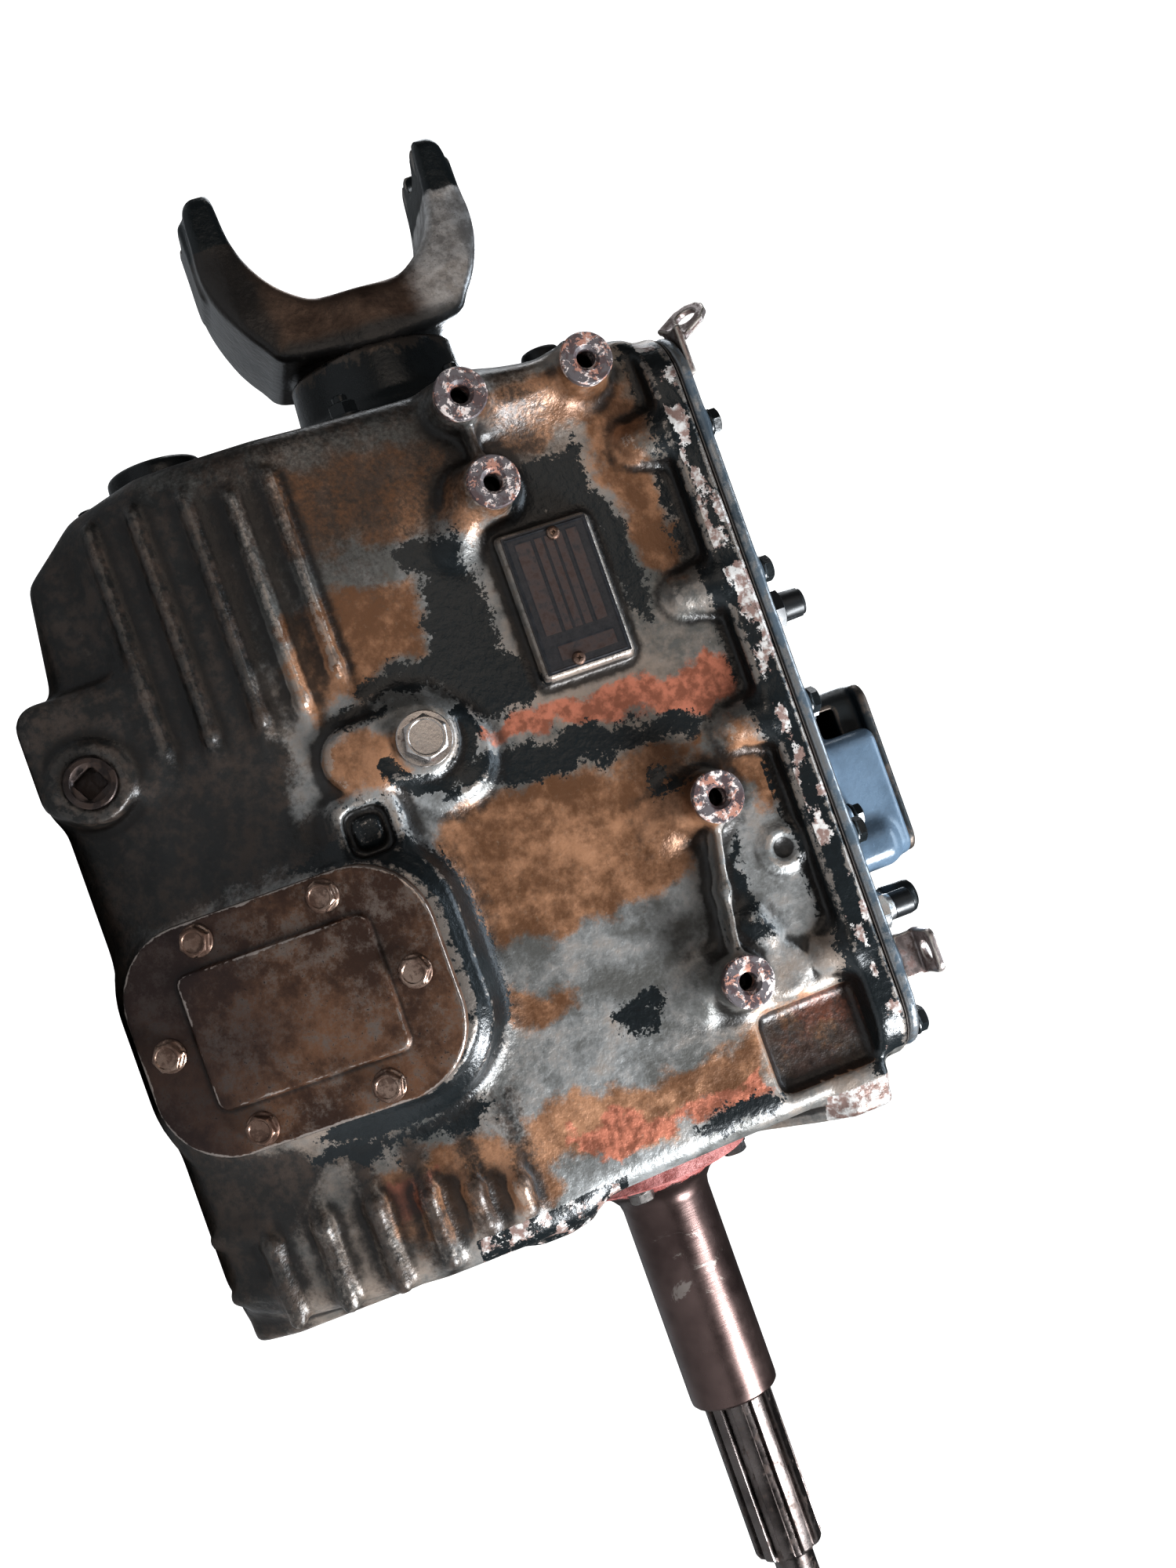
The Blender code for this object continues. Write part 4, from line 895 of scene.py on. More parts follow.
    # Pads.
    pad = placed(prism(rounded(130, 178, 42, 0, -0.5), "z", -60, -10.0, 1.5), PTO, PTO_B)
    F.add(pad, 10)
    F.add(placed(prism(rounded(146, 196, 48, 0, -0.5), "z", -60, -19, 4), PTO, PTO_B), 14)
    far_b = axes((0, 1, 0), (-1, 0, 0))
    F.add(placed(prism(rounded(118, 150, 34), "z", -20, 154, 3), (-166.5, 0, -172), far_b), 12)
    F.add(prism(stadium(-282, -104, -281, -70, 18.5), "y", -150.2, -110, 2.5), 5)
    F.add(prism(stadium(-282, -72, -268, -58, 25), "y", -145, -110, 4), 12)
    F.cut(rod((-268, -146, -46), (-268, -175, -46), 15, 26, 3), 7)
    F.add(rod((-280, -120, -67), (-280, -150.2, -67), 20, 19, 1), 2)
    F.cut(rod((-280, -150.1, -67), (-280, -170, -67), 19.5, 24, 0.5), 2)
    F.add(prism(rounded(64, 66, 13, -334, -234), "y", -127, -84, 5), 12)
    F.add(rod((-316, -90, -239), (-316, -131, -239), 25, 22, 1), 4)
    F.add(rbox((-373, -143.9, 8), (-287.5, -112, 63.5), 2.5), 3.5)
    # Core mark: a sunk square with a rounded block inside it.
    F.add(prism(rounded(40, 36, 10, -243, -111), "y", -149, -120, 4), 9)
    F.cut(prism(rounded(27, 25, 7, -243, -111), "y", -160, -142.5, 1), 2)
    F.add(prism(rounded(18, 16, 4.5, -243, -111), "y", -147, -130, 2), 1.5)
    # Rear edges that the covers sit on.
    F.add(rod((-463, 0, 0), (-466, 0, 0), 84, 84, 1), 4)
    F.add(rod((-456, 0, -150), (-466, 0, -150), 66, 62, 1), 5)
    F.soften(1)

    # Inside: the gear space behind a skin that follows the recesses.
    INNER = [
        (-122, 111), (-122, 20), (-127, -60), (-131, -100), (-128, -150), (-111, -215), (-94, -250), (-80, -257),
        (80, -257), (96, -250), (117, -215), (138, -150), (142.5, -112), (138, -70), (127, -20), (122, 111),
    ]
    INNER_SIDE = [
        (-434, 140), (-434, -178), (-425, -198), (-408, -222), (-358, -236), (-342, -257), (-330, -300), (-34, -300), (-34, 140),
    ]
    inner = smax(sd_poly(INNER, Y, Z), sd_poly(INNER_SIDE, X, Z), 8)
    for shape, skin in carved:
        w, x, y, z = F.window(shape[1], shape[2], skin + 3 * h)
        inner[w] = np.maximum(inner[w], skin - shape[0](x, y, z))
    F.D[s] = np.maximum(F.D[s], -inner).astype(np.float32)
    del inner
    F.cut(prism(rounded(376, 212, 18, -233, 0), "z", 108, 170))
    F.cut(rod((-40, 0, 0), (12, 0, 0), 60.4))
    F.cut(rod((-480, 0, 0), (-428, 0, 0), 55.4))
    F.cut(rod((-40, 0, -150), (-9, 0, -150), 42.4))
    F.cut(rod((-480, 0, -150), (-428, 0, -150), 42.4))
    F.cut(rod((-460, 84.2, -118.1), (-428, 84.2, -118.1), 12.4))
    F.cut(placed(prism(rounded(92, 112, 18), "z", -70, 5), PTO, PTO_B))
    for x, z in BOSSES.values():
        F.cut(rod((x, -132, z), (x, -170, z), 7.0))
    for y, z in ((-108, -86), (108, -86), (-116, 108), (116, 108)):
        F.cut(rod((-30, y, z), (10, y, z), 6.6))
    F.cut(rod((-280, -128, -67), (-280, -160, -67), 9.4))
    F.cut(rod((-316, -110, -239), (-316, -140, -239), 13.4))
    for x, y in PTO_BOLTS:
        F.cut(rod(on_pto(x, y, -34), on_pto(x, y, -5), 5.2))

    P, quads = F.surface()
    wear = F.wear(P, 3, 0.55)
    return P, quads, wear, F


# Paint patches on the camera side, as outlines in X and Z; the last list marks dark grime together with painted shade
# low on the case.
BLACK = [
    [(-382, -52), (-387, -38), (-381, -11), (-364, -7), (-346, -9), (-328, -5), (-317, -11), (-308, -4), (-291, 9), (-279, 0), (-278, -25), (-286, -35), (-301, -46), (-306, -60), (-311, -84), (-321, -90), (-324, -67), (-326, -48), (-339, -47), (-349, -40), (-362, -40), (-373, -49)],
    [(-415, 61), (-419, 76), (-407, 78), (-395, 74), (-381, 75), (-366, 80), (-355, 86), (-337, 88), (-317, 79), (-300, 80), (-299, 73), (-314, 68), (-340, 70), (-360, 68), (-374, 62), (-377, 40), (-377, 25), (-402, 29), (-409, 38), (-410, 52)],
    [(-258, -45), (-259, -2), (-254, 42), (-244, 80), (-238, 88), (-233, 75), (-236, 36), (-238, 3), (-241, -29), (-244, -53), (-247, -65), (-255, -56)],
    [(-455, 112), (-456, 130), (-450, 142), (-431, 142), (-429, 127), (-411, 119), (-397, 122), (-374, 121), (-348, 128), (-331, 129), (-307, 131), (-307, 120), (-325, 116), (-347, 111), (-377, 111), (-401, 110), (-418, 118), (-438, 118)],
    [(-220, 44), (-220, 64), (-213, 75), (-208, 60), (-210, 46), (-213, 41)],
    [(-175, 79), (-170, 85), (-156, 81), (-133, 81), (-129, 76), (-118, 89), (-112, 80), (-111, 65), (-127, 65), (-144, 69)],
    [(-108, -6), (-106, 15), (-96, 13), (-85, 1), (-90, -13), (-101, -14)],
    [(-26, 2), (-29, 16), (-30, 43), (-25, 54), (-18, 58), (-19, 38), (-17, 24), (-21, 6)],
    [(-229, -109), (-225, -94), (-209, -84), (-191, -84), (-170, -79), (-148, -80), (-130, -90), (-127, -99), (-143, -92), (-162, -91), (-182, -94), (-205, -95), (-220, -102)],
    [(-90, -198), (-92, -173), (-86, -141), (-91, -104), (-84, -94), (-75, -113), (-74, -142), (-79, -177), (-81, -192)],
    [(-304, -111), (-310, -93), (-304, -73), (-300, -80), (-297, -100), (-297, -113)],
]
BROWN = [
    [(-441, -98), (-440, -54), (-438, -13), (-440, 10), (-418, 9), (-399, -4), (-395, -22), (-388, -41), (-394, -70), (-397, -101), (-420, -102)],
    [(-364, -125), (-370, -95), (-369, -60), (-363, -43), (-350, -42), (-326, -47), (-323, -67), (-314, -89), (-310, -116), (-331, -121), (-350, -120)],
    [(-449, 26), (-455, 49), (-453, 78), (-437, 89), (-443, 112), (-419, 116), (-401, 107), (-394, 87), (-419, 82), (-426, 68), (-417, 55), (-415, 28), (-428, 19)],
    [(-423, 101), (-400, 111), (-374, 110), (-338, 118), (-323, 112), (-325, 96), (-347, 90), (-368, 84), (-390, 79)],
    [(-391, -20), (-399, -4), (-392, 9), (-381, 22), (-377, 14), (-380, -5)],
    [(-238, -72), (-237, -35), (-234, 20), (-233, 59), (-232, 81), (-180, 66), (-159, 54), (-156, 37), (-156, 18), (-156, -8), (-154, -34), (-158, -54), (-165, -80), (-173, -95)],
    [(-219, 80), (-230, 104), (-221, 121), (-198, 122), (-175, 117), (-189, 102), (-208, 96)],
    [(-136, -84), (-134, -63), (-127, -37), (-117, -35), (-115, -54), (-118, -78), (-128, -87)],
    [(-73, -88), (-68, -52), (-64, -26), (-59, -5), (-60, 41), (-63, 58), (-35, 58), (-30, 30), (-31, 4), (-26, -24), (-35, -52), (-40, -81), (-59, -90)],
    [(-79, 67), (-66, 109), (-40, 127), (-26, 121), (-27, 95), (-35, 64), (-54, 58)],
    [(-293, -117), (-292, -96), (-284, -80), (-267, -76), (-260, -95), (-262, -119), (-277, -123)],
    [(-72, -168), (-75, -129), (-53, -73), (-19, -85), (-31, -129), (-19, -152), (-32, -169), (-53, -168)],
]
RED = [
    [(-270, -34), (-277, -16), (-275, 17), (-271, 59), (-275, 98), (-273, 122), (-258, 119), (-242, 106), (-241, 89), (-255, 56), (-260, 24), (-263, -4), (-262, -31)],
    [(-53, -61), (-53, -36), (-41, -5), (-38, 33), (-43, 54), (-27, 55), (-27, 29), (-30, -3), (-28, -29), (-30, -48), (-42, -62)],
    [(-64, -164), (-64, -139), (-42, -141), (-38, -161)],
]
GRIME_AND_SHADE = [
    [(-454, -259), (-464, -190), (-444, -117), (-397, -128), (-320, -136), (-257, -139), (-234, -128), (-235, -226), (-233, -245), (-153, -278), (-165, -309), (-373, -292)],
    [(-336, -298), (-258, -126), (-236, -128), (-230, -249), (-201, -262), (-122, -265), (-89, -198), (-77, -177), (-67, -206), (-14, -230), (-19, -271), (-121, -295), (-216, -304)],
]


def patches(P, loops, reach=11.0, seed=21):
    """How deep each point lies in a wavy-edged outline, from -1 outside to 1 inside."""
    x = P[:, 0] + (lumps(P, 13, seed) - 0.5) * 13 + (lumps(P, 5, seed + 1) - 0.5) * 5
    z = P[:, 2] + (lumps(P, 13, seed + 2) - 0.5) * 13 + (lumps(P, 5, seed + 3) - 0.5) * 5
    best = np.full(len(P), -1.0)
    for loop in loops:
        best = np.maximum(best, -sd_poly(loop, x, z) / reach)
    return best


P, quads, wear, F = build_case()
near = np.clip((-P[:, 1] - 60) / 40, 0, 1)


def both(spots, seed, level, scale=(55.0, 40.0, 22.0)):
    """Placed patches on the camera side, streaks of lattice noise elsewhere."""
    other = (lumps(P / np.array(scale), 1.0, seed) - level) * 2.2
    return np.clip(near * patches(P, spots) + (1 - near) * other, -1, 1)


q_ = (P - PTO) @ PTO_B.T
ring_d = sd_poly(rounded(130, 178, 42, 0, -0.5), q_[:, 0], q_[:, 1])
beside = np.clip((q_[:, 1] + 0.25 * q_[:, 0] - 12) / 20, -1, 0.9) - np.abs(ring_d - 4.5) / 7.0 + 0.55
beside = np.where((P[:, 1] < -60) & (ring_d > -8) & (ring_d < 20), beside, -1)
# Painted shade: a dark ring round the fill plug's recess and a dark square round the sunk core mark, both fed into the
# black mask.
plug = 0.75 - np.abs(np.hypot(P[:, 0] - FILL_AT[0], P[:, 2] - FILL_AT[1]) - 25) / 7.0
plug = np.where((P[:, 1] < -60) & (P[:, 0] + 0.3 * P[:, 2] > -305), plug, -1)
mark = 0.45 - np.maximum(np.abs(P[:, 0] + 243), np.abs(P[:, 2] + 111)) / 30.0
mark = np.where(P[:, 1] < -60, mark, -1)
n1 = (lumps(P, 9, 5) - 0.5) * 0.16 + (lumps(P, 30, 6) - 0.5) * 0.2
deck = np.clip((P[:, 2] - 118) / 3.0, -1, 1)
outer = np.abs(P[:, 1]) > 128
black = np.maximum(np.maximum(both(BLACK, 11, 0.66), beside), np.maximum(plug, mark)) + n1
black = np.where(outer & (P[:, 2] > 112), np.maximum(black, 0.25 + 0.4 * (lumps(P, 22, 7) - 0.5) + 0.3 * deck), black)
flange = (P[:, 0] > -18) & (np.abs(P[:, 1]) > 90) & (P[:, 2] > -130) & (P[:, 2] < -40)
black = np.where(flange, np.maximum(black, 0.3), black)
flake = np.where((outer & (P[:, 2] > 126)) | flange, (lumps(P / np.array([2.0, 1, 1]), 6, 8) - 0.58) * 2.0, -1.0)
# Painted shade with grime: dark outlines low on the case, then darker toward the bottom, toward the rear low down, and
# over the rear face.
grime_and_shade = both(GRIME_AND_SHADE, 12, 0.52, (90.0, 70.0, 60.0))
grime_and_shade = np.maximum(grime_and_shade, np.clip((-232 - P[:, 2]) / 25, -1, 0.7))
grime_and_shade = np.maximum(grime_and_shade, np.minimum(np.clip((-392 - P[:, 0]) / 70, -1, 0.12), np.clip((52 - P[:, 2]) / 45, -1, 1)))
grime_and_shade = np.where(P[:, 0] < -462, np.maximum(grime_and_shade, 0.5), grime_and_shade)
flake = np.where((P[:, 0] > -13) & (np.abs(P[:, 1]) > 112) & (P[:, 2] > 84), 0.55, flake)
black = np.where((P[:, 0] > -13) & (P[:, 2] > 84), -1, black)
black = np.where((P[:, 0] > -74) & (P[:, 0] < -20) & (P[:, 2] > 57) & (P[:, 2] < 120) & (np.abs(P[:, 1]) < 129), -1, black)
# Painted shade in the pocket by the front flange: its surface is set hollow so the hollow darkening falls on it, and
# the dark mask grows toward its front and its lower end; the brown and red there are its paint.
pocket = (P[:, 0] > -74) & (P[:, 0] < -20) & (P[:, 2] > 57) & (P[:, 2] < 124) & (np.abs(P[:, 1]) < 129) & (np.abs(P[:, 1]) > 115)
wear = np.where(pocket, np.minimum(wear, -0.30), wear)
rim = (P[:, 0] > -86) & (P[:, 0] < -14) & (P[:, 2] > 46) & (P[:, 2] < 128) & (np.abs(P[:, 1]) > 112) & ~pocket
wear = np.where(rim, np.minimum(wear, 0.22), wear)
low = np.maximum((P[:, 0] + 47) / 22, (74 - P[:, 2]) / 16) + (lumps(P, 12, 31) - 0.5) * 0.9
grime_and_shade = np.where(pocket, np.maximum(grime_and_shade, np.clip(low, 0.02, 0.85)), grime_and_shade)
# Painted shade with grime: dark bands in the valleys between the lower front ribs.
phase = np.abs(((P[:, 2] + 104.0) / 28.4) % 1.0 - 0.5)
inside = np.minimum(np.minimum((P[:, 0] + 86) / 14, (-86 - P[:, 2]) / 14), np.minimum((P[:, 2] + 252) / 12, (np.abs(P[:, 1]) - 60) / 10))
grime_and_shade = np.maximum(grime_and_shade, np.minimum(np.clip(inside, -1, 1), 0.55 - phase * 2.6))
case = mesh_object("main_case_casting", P, [quads], M["cast"], "case", "main_case", {
    "wear": wear, "black": np.clip(black, -1, 1), "brown": np.where(pocket, 0.9, both(BROWN, 13, 0.50) + n1), "red": np.where(pocket, (lumps(P, 16, 32) - 0.45) * 1.6, both(RED, 14, 0.72)) + n1,
    "grime_and_shade": grime_and_shade + n1, "flake": flake,
})
del P, quads, wear, F

# ------------------------------------------------------------------ machined post faces on the side


def turned_piece(name, profile, at, z, mat, body, node=None, slot=None, n=96, closed=False, x=None, sharp=35):
    b = Build()
    b.turned(profile, at, axes(z, x), n, closed)
    ob = b.done(name, mat, body, node, sharp)
    a = ob.data.attributes.new("wear", "FLOAT", "POINT")
    return ob


b = Build()
for x, z in BOSSES.values():
    b.turned([(-12, 5.2), (-12, 14.2), (-1.0, 15.0), (0, 14.2), (0, 7.4), (-2.0, 5.4), (-4.0, 5.2)], (x, -160, z), OUT, 72, True)
b.done("side_post_faces", M["boss"], "case", None, 30)

# ------------------------------------------------------------------ power take-off cover and its bolts


def field_piece(name, lo, hi, h, build, mat, body, node=None, wear=(3, 0.4), soften=0, extra=None):
    h = h * 1.0
    F = Field(lo, hi, h)
    build(F)
    if soften:
        F.soften(soften)
    P, quads = F.surface()
    attrs = {"wear": F.wear(P, wear[0], wear[1] * h)}
    if extra:
        attrs.update(extra(P))
    return mesh_object(name, P, [quads], mat, body, node, attrs)


def pto_build(F):
    F.add(placed(prism(rounded(127.6, 174.6, 41, 0, -0.5), "z", -8.7, 0, 1.1), PTO, PTO_B))
    F.add(placed(prism(rounded(75, 109, 6), "z", -4, 2.9, 1.6), PTO, PTO_B), 2.2)
    for x, y in PTO_BOLTS:
        F.cut(rod(on_pto(x, y, -12), on_pto(x, y, 3), 5.2))


def pto_painted_shade(P):
    q = (P - PTO) @ PTO_B.T
    a = q[:, 0] * math.sin(TURN) + q[:, 1] * math.cos(TURN)
    b_ = -q[:, 0] * math.cos(TURN) + q[:, 1] * math.sin(TURN)
    # Painted shade: darker toward one side across the view, plus noise and a soft darker spot at the middle.
    return {"dark": np.clip(0.15 + -a / 70 + (lumps(P, 26, 21) - 0.5) * 0.9 + 0.35 * np.exp(-((a / 30) ** 2 + (b_ / 22) ** 2)), 0, 1)}


corners = np.array([on_pto(x, y, z) for x in (-64, 64) for y in (-88.5, 87.5) for z in (-9, 3)])
field_piece("power_take_off_cover", corners.min(0), corners.max(0), 1.25, pto_build, M["brown"], "case", "pto_cover", (2, 0.32), extra=pto_painted_shade)
for i, (x, y) in enumerate(PTO_BOLTS):
    b = Build()
    washer_bolt(b, on_pto(x, y, 0.2), PTO_B, 14.3, 7.0, 9.2, turn=0.2 + 0.37 * i)
    b.done(f"pto_cover_bolt_{i + 1}", M["bolt"], "case", f"pto_bolt_{i + 1}", 30)

# ------------------------------------------------------------------ plugs and the blank plate

b = Build()
FILL, DRAIN = (-280, -67), (-316, -239)
at = (FILL[0], -150.3, FILL[1])
b.turned([(-17, 0), (-17, 8), (-16, 9), (0, 9.0), (0, 15.0), (0.5, 15.5), (3.2, 15.5), (3.7, 15.0), (3.7, 0)], at, OUT, 72)
b.hexhead((FILL[0], -152.5, FILL[1]), OUT, 22.5, 10.5, turn=0.32, dish=0.7)
b.done("fill_plug_head", M["bright"], "case", "fill_plug", 30)

b = Build()
n = 96
t = np.arange(n) * math.tau / n
c, s = np.cos(t), np.sin(t)
sq = np.minimum(6.6 / np.maximum(np.abs(np.cos(t - 0.5)), np.abs(np.sin(t - 0.5))), 8.4)
ringz = lambda r, z: np.stack([r * c, r * s, z + np.zeros(n)], 1)
b.rings([ringz(12.4, -17), ringz(12.7, 0.2), ringz(13.4, 0.3), ringz(14, 0.9), ringz(14, 2.0), ringz(13.2, 2.8), ringz(10.8, 2.8), ringz(10.0, 2.2), ringz(sq + 0.6, 1.6), ringz(sq, 0.8), ringz(sq, -9.5)],
        (DRAIN[0], -131.2, DRAIN[1]), OUT)
b.done("drain_plug_body", M["drain"], "case", "drain_plug", 30)


def plate_piece():
    """A thin plate with a raised rim and blank sunk fields."""
    w, hgt, cx, cz = 80.0, 50.0, -330.5, 35.5
    nx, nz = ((160, 100))
    u = np.linspace(-w / 2, w / 2, nx + 1)
    v = np.linspace(-hgt / 2, hgt / 2, nz + 1)
    U, V = np.meshgrid(u, v, indexing="ij")
    rim = np.maximum(np.abs(U) - (w / 2 - 2.2), np.abs(V) - (hgt / 2 - 2.2))
    H = 0.35 * np.clip(1 - np.abs(rim - 0.6) / 0.9, 0, 1)
    fields = [(-8, 15, 27, 3.6), (-8, 7, 27, 2.6), (-8, 1, 27, 2.6), (-8, -5, 27, 2.6), (-8, -14, 27, 5.0), (30, 2, 4.5, 17)]
    prt = np.zeros_like(U)
    for a, b_, ra, rb in fields:
        d = np.maximum(np.abs(U - a) - ra, np.abs(V - b_) - rb)
        H -= 0.18 * np.clip(0.5 - d / 0.6, 0, 1)
        prt = np.maximum(prt, np.clip(0.5 - d / 0.8, 0, 1))
    prt = np.clip(1.0 - 0.75 * prt - 0.5 * np.clip(rim + 3, 0, 1) + 0.15, 0, 1)
    sway = 0.25 * np.sin(U / 21.0) * np.cos(V / 16.0)
    top = np.stack([cx + U, -145.55 - H - 0.0 * sway, cz + V], -1).reshape(-1, 3)
    bot = np.stack([cx + U, np.full_like(U, -144.1), cz + V], -1).reshape(-1, 3)
    N = (nx + 1) * (nz + 1)
    idx = np.arange(N).reshape(nx + 1, nz + 1)
    q = np.stack([idx[:-1, :-1], idx[1:, :-1], idx[1:, 1:], idx[:-1, 1:]], -1).reshape(-1, 4)
    faces = [q, q[:, ::-1] + N]
    for line in (idx[:, 0], idx[-1, :], idx[::-1, -1], idx[0, ::-1]):
        a, b_ = line[:-1], line[1:]
        faces.append(np.stack([a + N, b_ + N, b_, a], 1))
    mesh_object("blank_data_plate", np.concatenate([top, bot]), [np.concatenate(faces)], M["plate"], "case", "nameplate",
                {"print": np.concatenate([prt.ravel(), prt.ravel() * 0])}, 30)


plate_piece()
b = Build()
for x, z in ((-365.5, 40.0), (-295.0, 30.0)):
    n = 48
    t = np.arange(n) * math.tau / n
    rr = lambda r, zz: np.stack([r * np.cos(t), r * np.sin(t), zz + np.zeros(n)], 1)
    cross = np.where(np.minimum(np.abs(np.sin(2 * t + 0.6)), 1) < 0.32, 1.9, 0.85)
    b.rings([rr(2.0, -5), rr(2.0, 0), rr(3.9, 0), rr(3.8, 0.5), rr(3.2, 1.3), rr(2.4, 1.75), rr(cross + 0.15, 1.8), rr(cross, 1.5), rr(cross * 0.7, 0.7)], (x, -145.6, z), OUT)
b.done("data_plate_screws", M["bolt"], "case", None, 30)

# ------------------------------------------------------------------ quill and input shaft

b = Build()
XF = axes((1, 0, 0), (0, 1, 0))
prof = [(4.4, 33), (4.4, 61.4), (5.0, 62), (13.2, 62), (14.2, 61), (14.6, 46), (15.4, 42.5)]
prof += [(15.4 + 9 * math.sin(a), 42.5 - 1 - 9 * (1 - math.cos(a))) for a in np.linspace(0.2, 1.2, 6)]
prof += [(26.5, 33.0), (31, 29.6), (36, 28.6), (163, 28.5), (165.6, 28.2), (167, 27.0), (167, 24.9), (166, 24.5), (22, 24.5), (15, 33)]
b.turned(prof, (0, 0, 0), XF, 128, True)
q = b.done("front_retainer_quill", M["quill"], "case", "front_retainer", 30)
b = Build()
for a in (25, 115, 205, 295):
    y, z = 52 * math.cos(math.radians(a)), 52 * math.sin(math.radians(a))
    b.hexhead((14.2, y, z), XF, 14, 7.5, flange=0, turn=a * 0.03, shank=4, depth=10)
    b.turned([(-0.2, 0), (-0.2, 9.0), (1.4, 9.0), (1.8, 8.4), (1.8, 0)], (14.2, y, z), XF, 40)
b.done("front_retainer_bolts", M["steel"], "case", None, 30)


def gear_loop(teeth, phase, backlash=0.44):
    pitch, stp = 2.5 * teeth, math.tau / teeth
    half, tip, root, slope = stp * backlash / 2, pitch + 4.6, pitch - 6.2, math.tan(math.radians(21))
    out = []
    for i in range(teeth):
        c_ = phase + i * stp
        for f in (-1, 1):
            fl = [(root, half + 6.2 * slope / root), (pitch, half), (tip - 0.6, half - 4.0 * slope / tip), (tip, half - 4.6 * slope / tip - 0.4 / tip)]
            fl = fl if f < 0 else fl[::-1]
            out += [(r * math.cos(c_ + f * a), r * math.sin(c_ + f * a)) for r, a in fl]
    return np.array(out)


b = Build()
b.turned([(-76, 21.8), (-76, 43.0), (-75.2, 43.6), (-36, 43.6), (-36, 29.6), (2, 29.6), (2, 20), (158, 20), (160, 17.9), (270, 17.9), (272, 17.2), (274, 13.6), (275.5, 13),
          (298.5, 13), (301.5, 12.2), (303, 10.6), (303, 0)][::1], (0, 0, 0), XF, 96)
b.turned([(-44, 0), (-44, 21.8), (-76, 21.8)][::-1], (0, 0, 0), XF, 96)
N = 480
t = np.arange(N) * math.tau / N
ph = ((t - 0.31 + math.pi / 10) % (math.tau / 10)) - math.pi / 10
land = np.clip((0.205 - np.abs(ph)) / 0.050, 0, 1)
r = 18.3 + 3.9 * land
rs = lambda cap, x: np.stack([np.minimum(r, cap) * np.cos(t), np.minimum(r, cap) * np.sin(t), x + np.zeros(N)], 1)
b.rings([rs(17.5, 161), rs(18.2, 163.5), rs(20.4, 166), rs(22.3, 169), rs(22.3, 268.5), rs(21.3, 270.3), rs(19.2, 271.6), rs(17.0, 272.0)], (0, 0, 0), XF)
loop = gear_loop(24, -math.pi / 2)
inner = loop / np.hypot(*loop.T)[:, None] * 40.0
g3 = lambda l, x: np.column_stack([l, np.full(len(l), float(x))])
b.rings([g3(inner, -68), g3(loop * 0.985, -68), g3(loop, -67), g3(loop, -41), g3(loop * 0.985, -40), g3(inner, -40)], (0, 0, 0), XF)
b.done("input_shaft_spline", M["shaft"], "input", "input_shaft", 28)

# ------------------------------------------------------------------ rear covers, yoke and nut


def rear_build(F):
    F.add(rod((-466.4, 0, 0), (-479, 0, 0), 76, 75.5, 1.6))
    for i in range(6):
        a = math.radians(30 + 60 * i)
        F.add(rod((-466.4, 70 * math.cos(a), 70 * math.sin(a)), (-479.5, 70 * math.cos(a), 70 * math.sin(a)), 15, 14.5, 1.6), 6)
    F.add(rod((-470, 0, 0), (-489, 0, 0), 62, 56.5, 1), 7)
    F.add(rod((-480, 0, 0), (-523, 0, 0), 56, 53, 2.4), 5)
    F.cut(rod((-440, 0, 0), (-478, 0, 0), 42.2), 0)
    F.cut(rod((-470, 0, 0), (-530, 0, 0), 45), 0)
    F.cut(rod((-509, 0, 0), (-530, 0, 0), 51), 0)


field_piece("rear_bearing_cover_casting", (-524, -86, -86), (-466, 86, 86), 1.35, rear_build, M["black"], "case", "rear_bearing_cover", (3, 0.45))
XR = axes((-1, 0, 0), (0, 1, 0))
b = Build()
for i in range(6):
    a = math.radians(30 + 60 * i)
    p = (-479.4, 70 * math.cos(a), 70 * math.sin(a))
    b.turned([(-0.3, 0), (-0.3, 11.2), (1.8, 11.2), (2.2, 10.8), (2.2, 0)], p, XR, 48)
    b.hexhead((p[0] - 2.0, p[1], p[2]), XR, 16, 8.5, turn=0.5 * i, stud=4.6, shank=4.6, depth=16)
for z in (-194, -106):
    p = (-477.2, 0, z)
    b.turned([(-0.3, 0), (-0.3, 10.2), (1.6, 10.2), (2.0, 9.8), (2.0, 0)], p, XR, 48)
    b.hexhead((p[0] - 1.8, p[1], p[2]), XR, 14, 7.5, turn=0.4, shank=4.2, depth=12)
b.done("rear_cover_bolts", M["black"], "case", None, 30)


def counter_build(F):
    F.add(rod((-466.4, 0, -150), (-477, 0, -150), 44, 43.5, 1.4))
    F.add(prism(stadium(0, -194, 0, -106, 19), "x", -477, -466.4, 1.4), 3)
    F.add(rod((-470, 0, -150), (-500, 0, -150), 31, 29.4, 4.5), 4)
    F.cut(rod((-460, 0, -150), (-480, 0, -150), 21), 0)


field_piece("countershaft_cover_casting", (-501, -46, -214), (-466, 46, -86), 1.3, counter_build, M["black"], "case", "countershaft_cover", (3, 0.45))

SADDLE = [
    (-526, -46), (-526, 46), (-540, 66), (-566, 81), (-590, 86), (-612, 84), (-634, 82), (-642.6, 76), (-642.6, 66),
    (-612, 62), (-590, 56), (-572, 43), (-558, 22), (-552, 0), (-558, -22), (-572, -43), (-590, -56), (-612, -63),
    (-642.6, -66), (-642.6, -77), (-634, -84), (-612, -86), (-590, -87), (-566, -81), (-540, -66),
]
WIDTH = [(-515, -49), (-560, -47), (-600, -42), (-636, -40), (-650, -33), (-650, 33), (-636, 40), (-600, 42), (-560, 47), (-515, 49)]


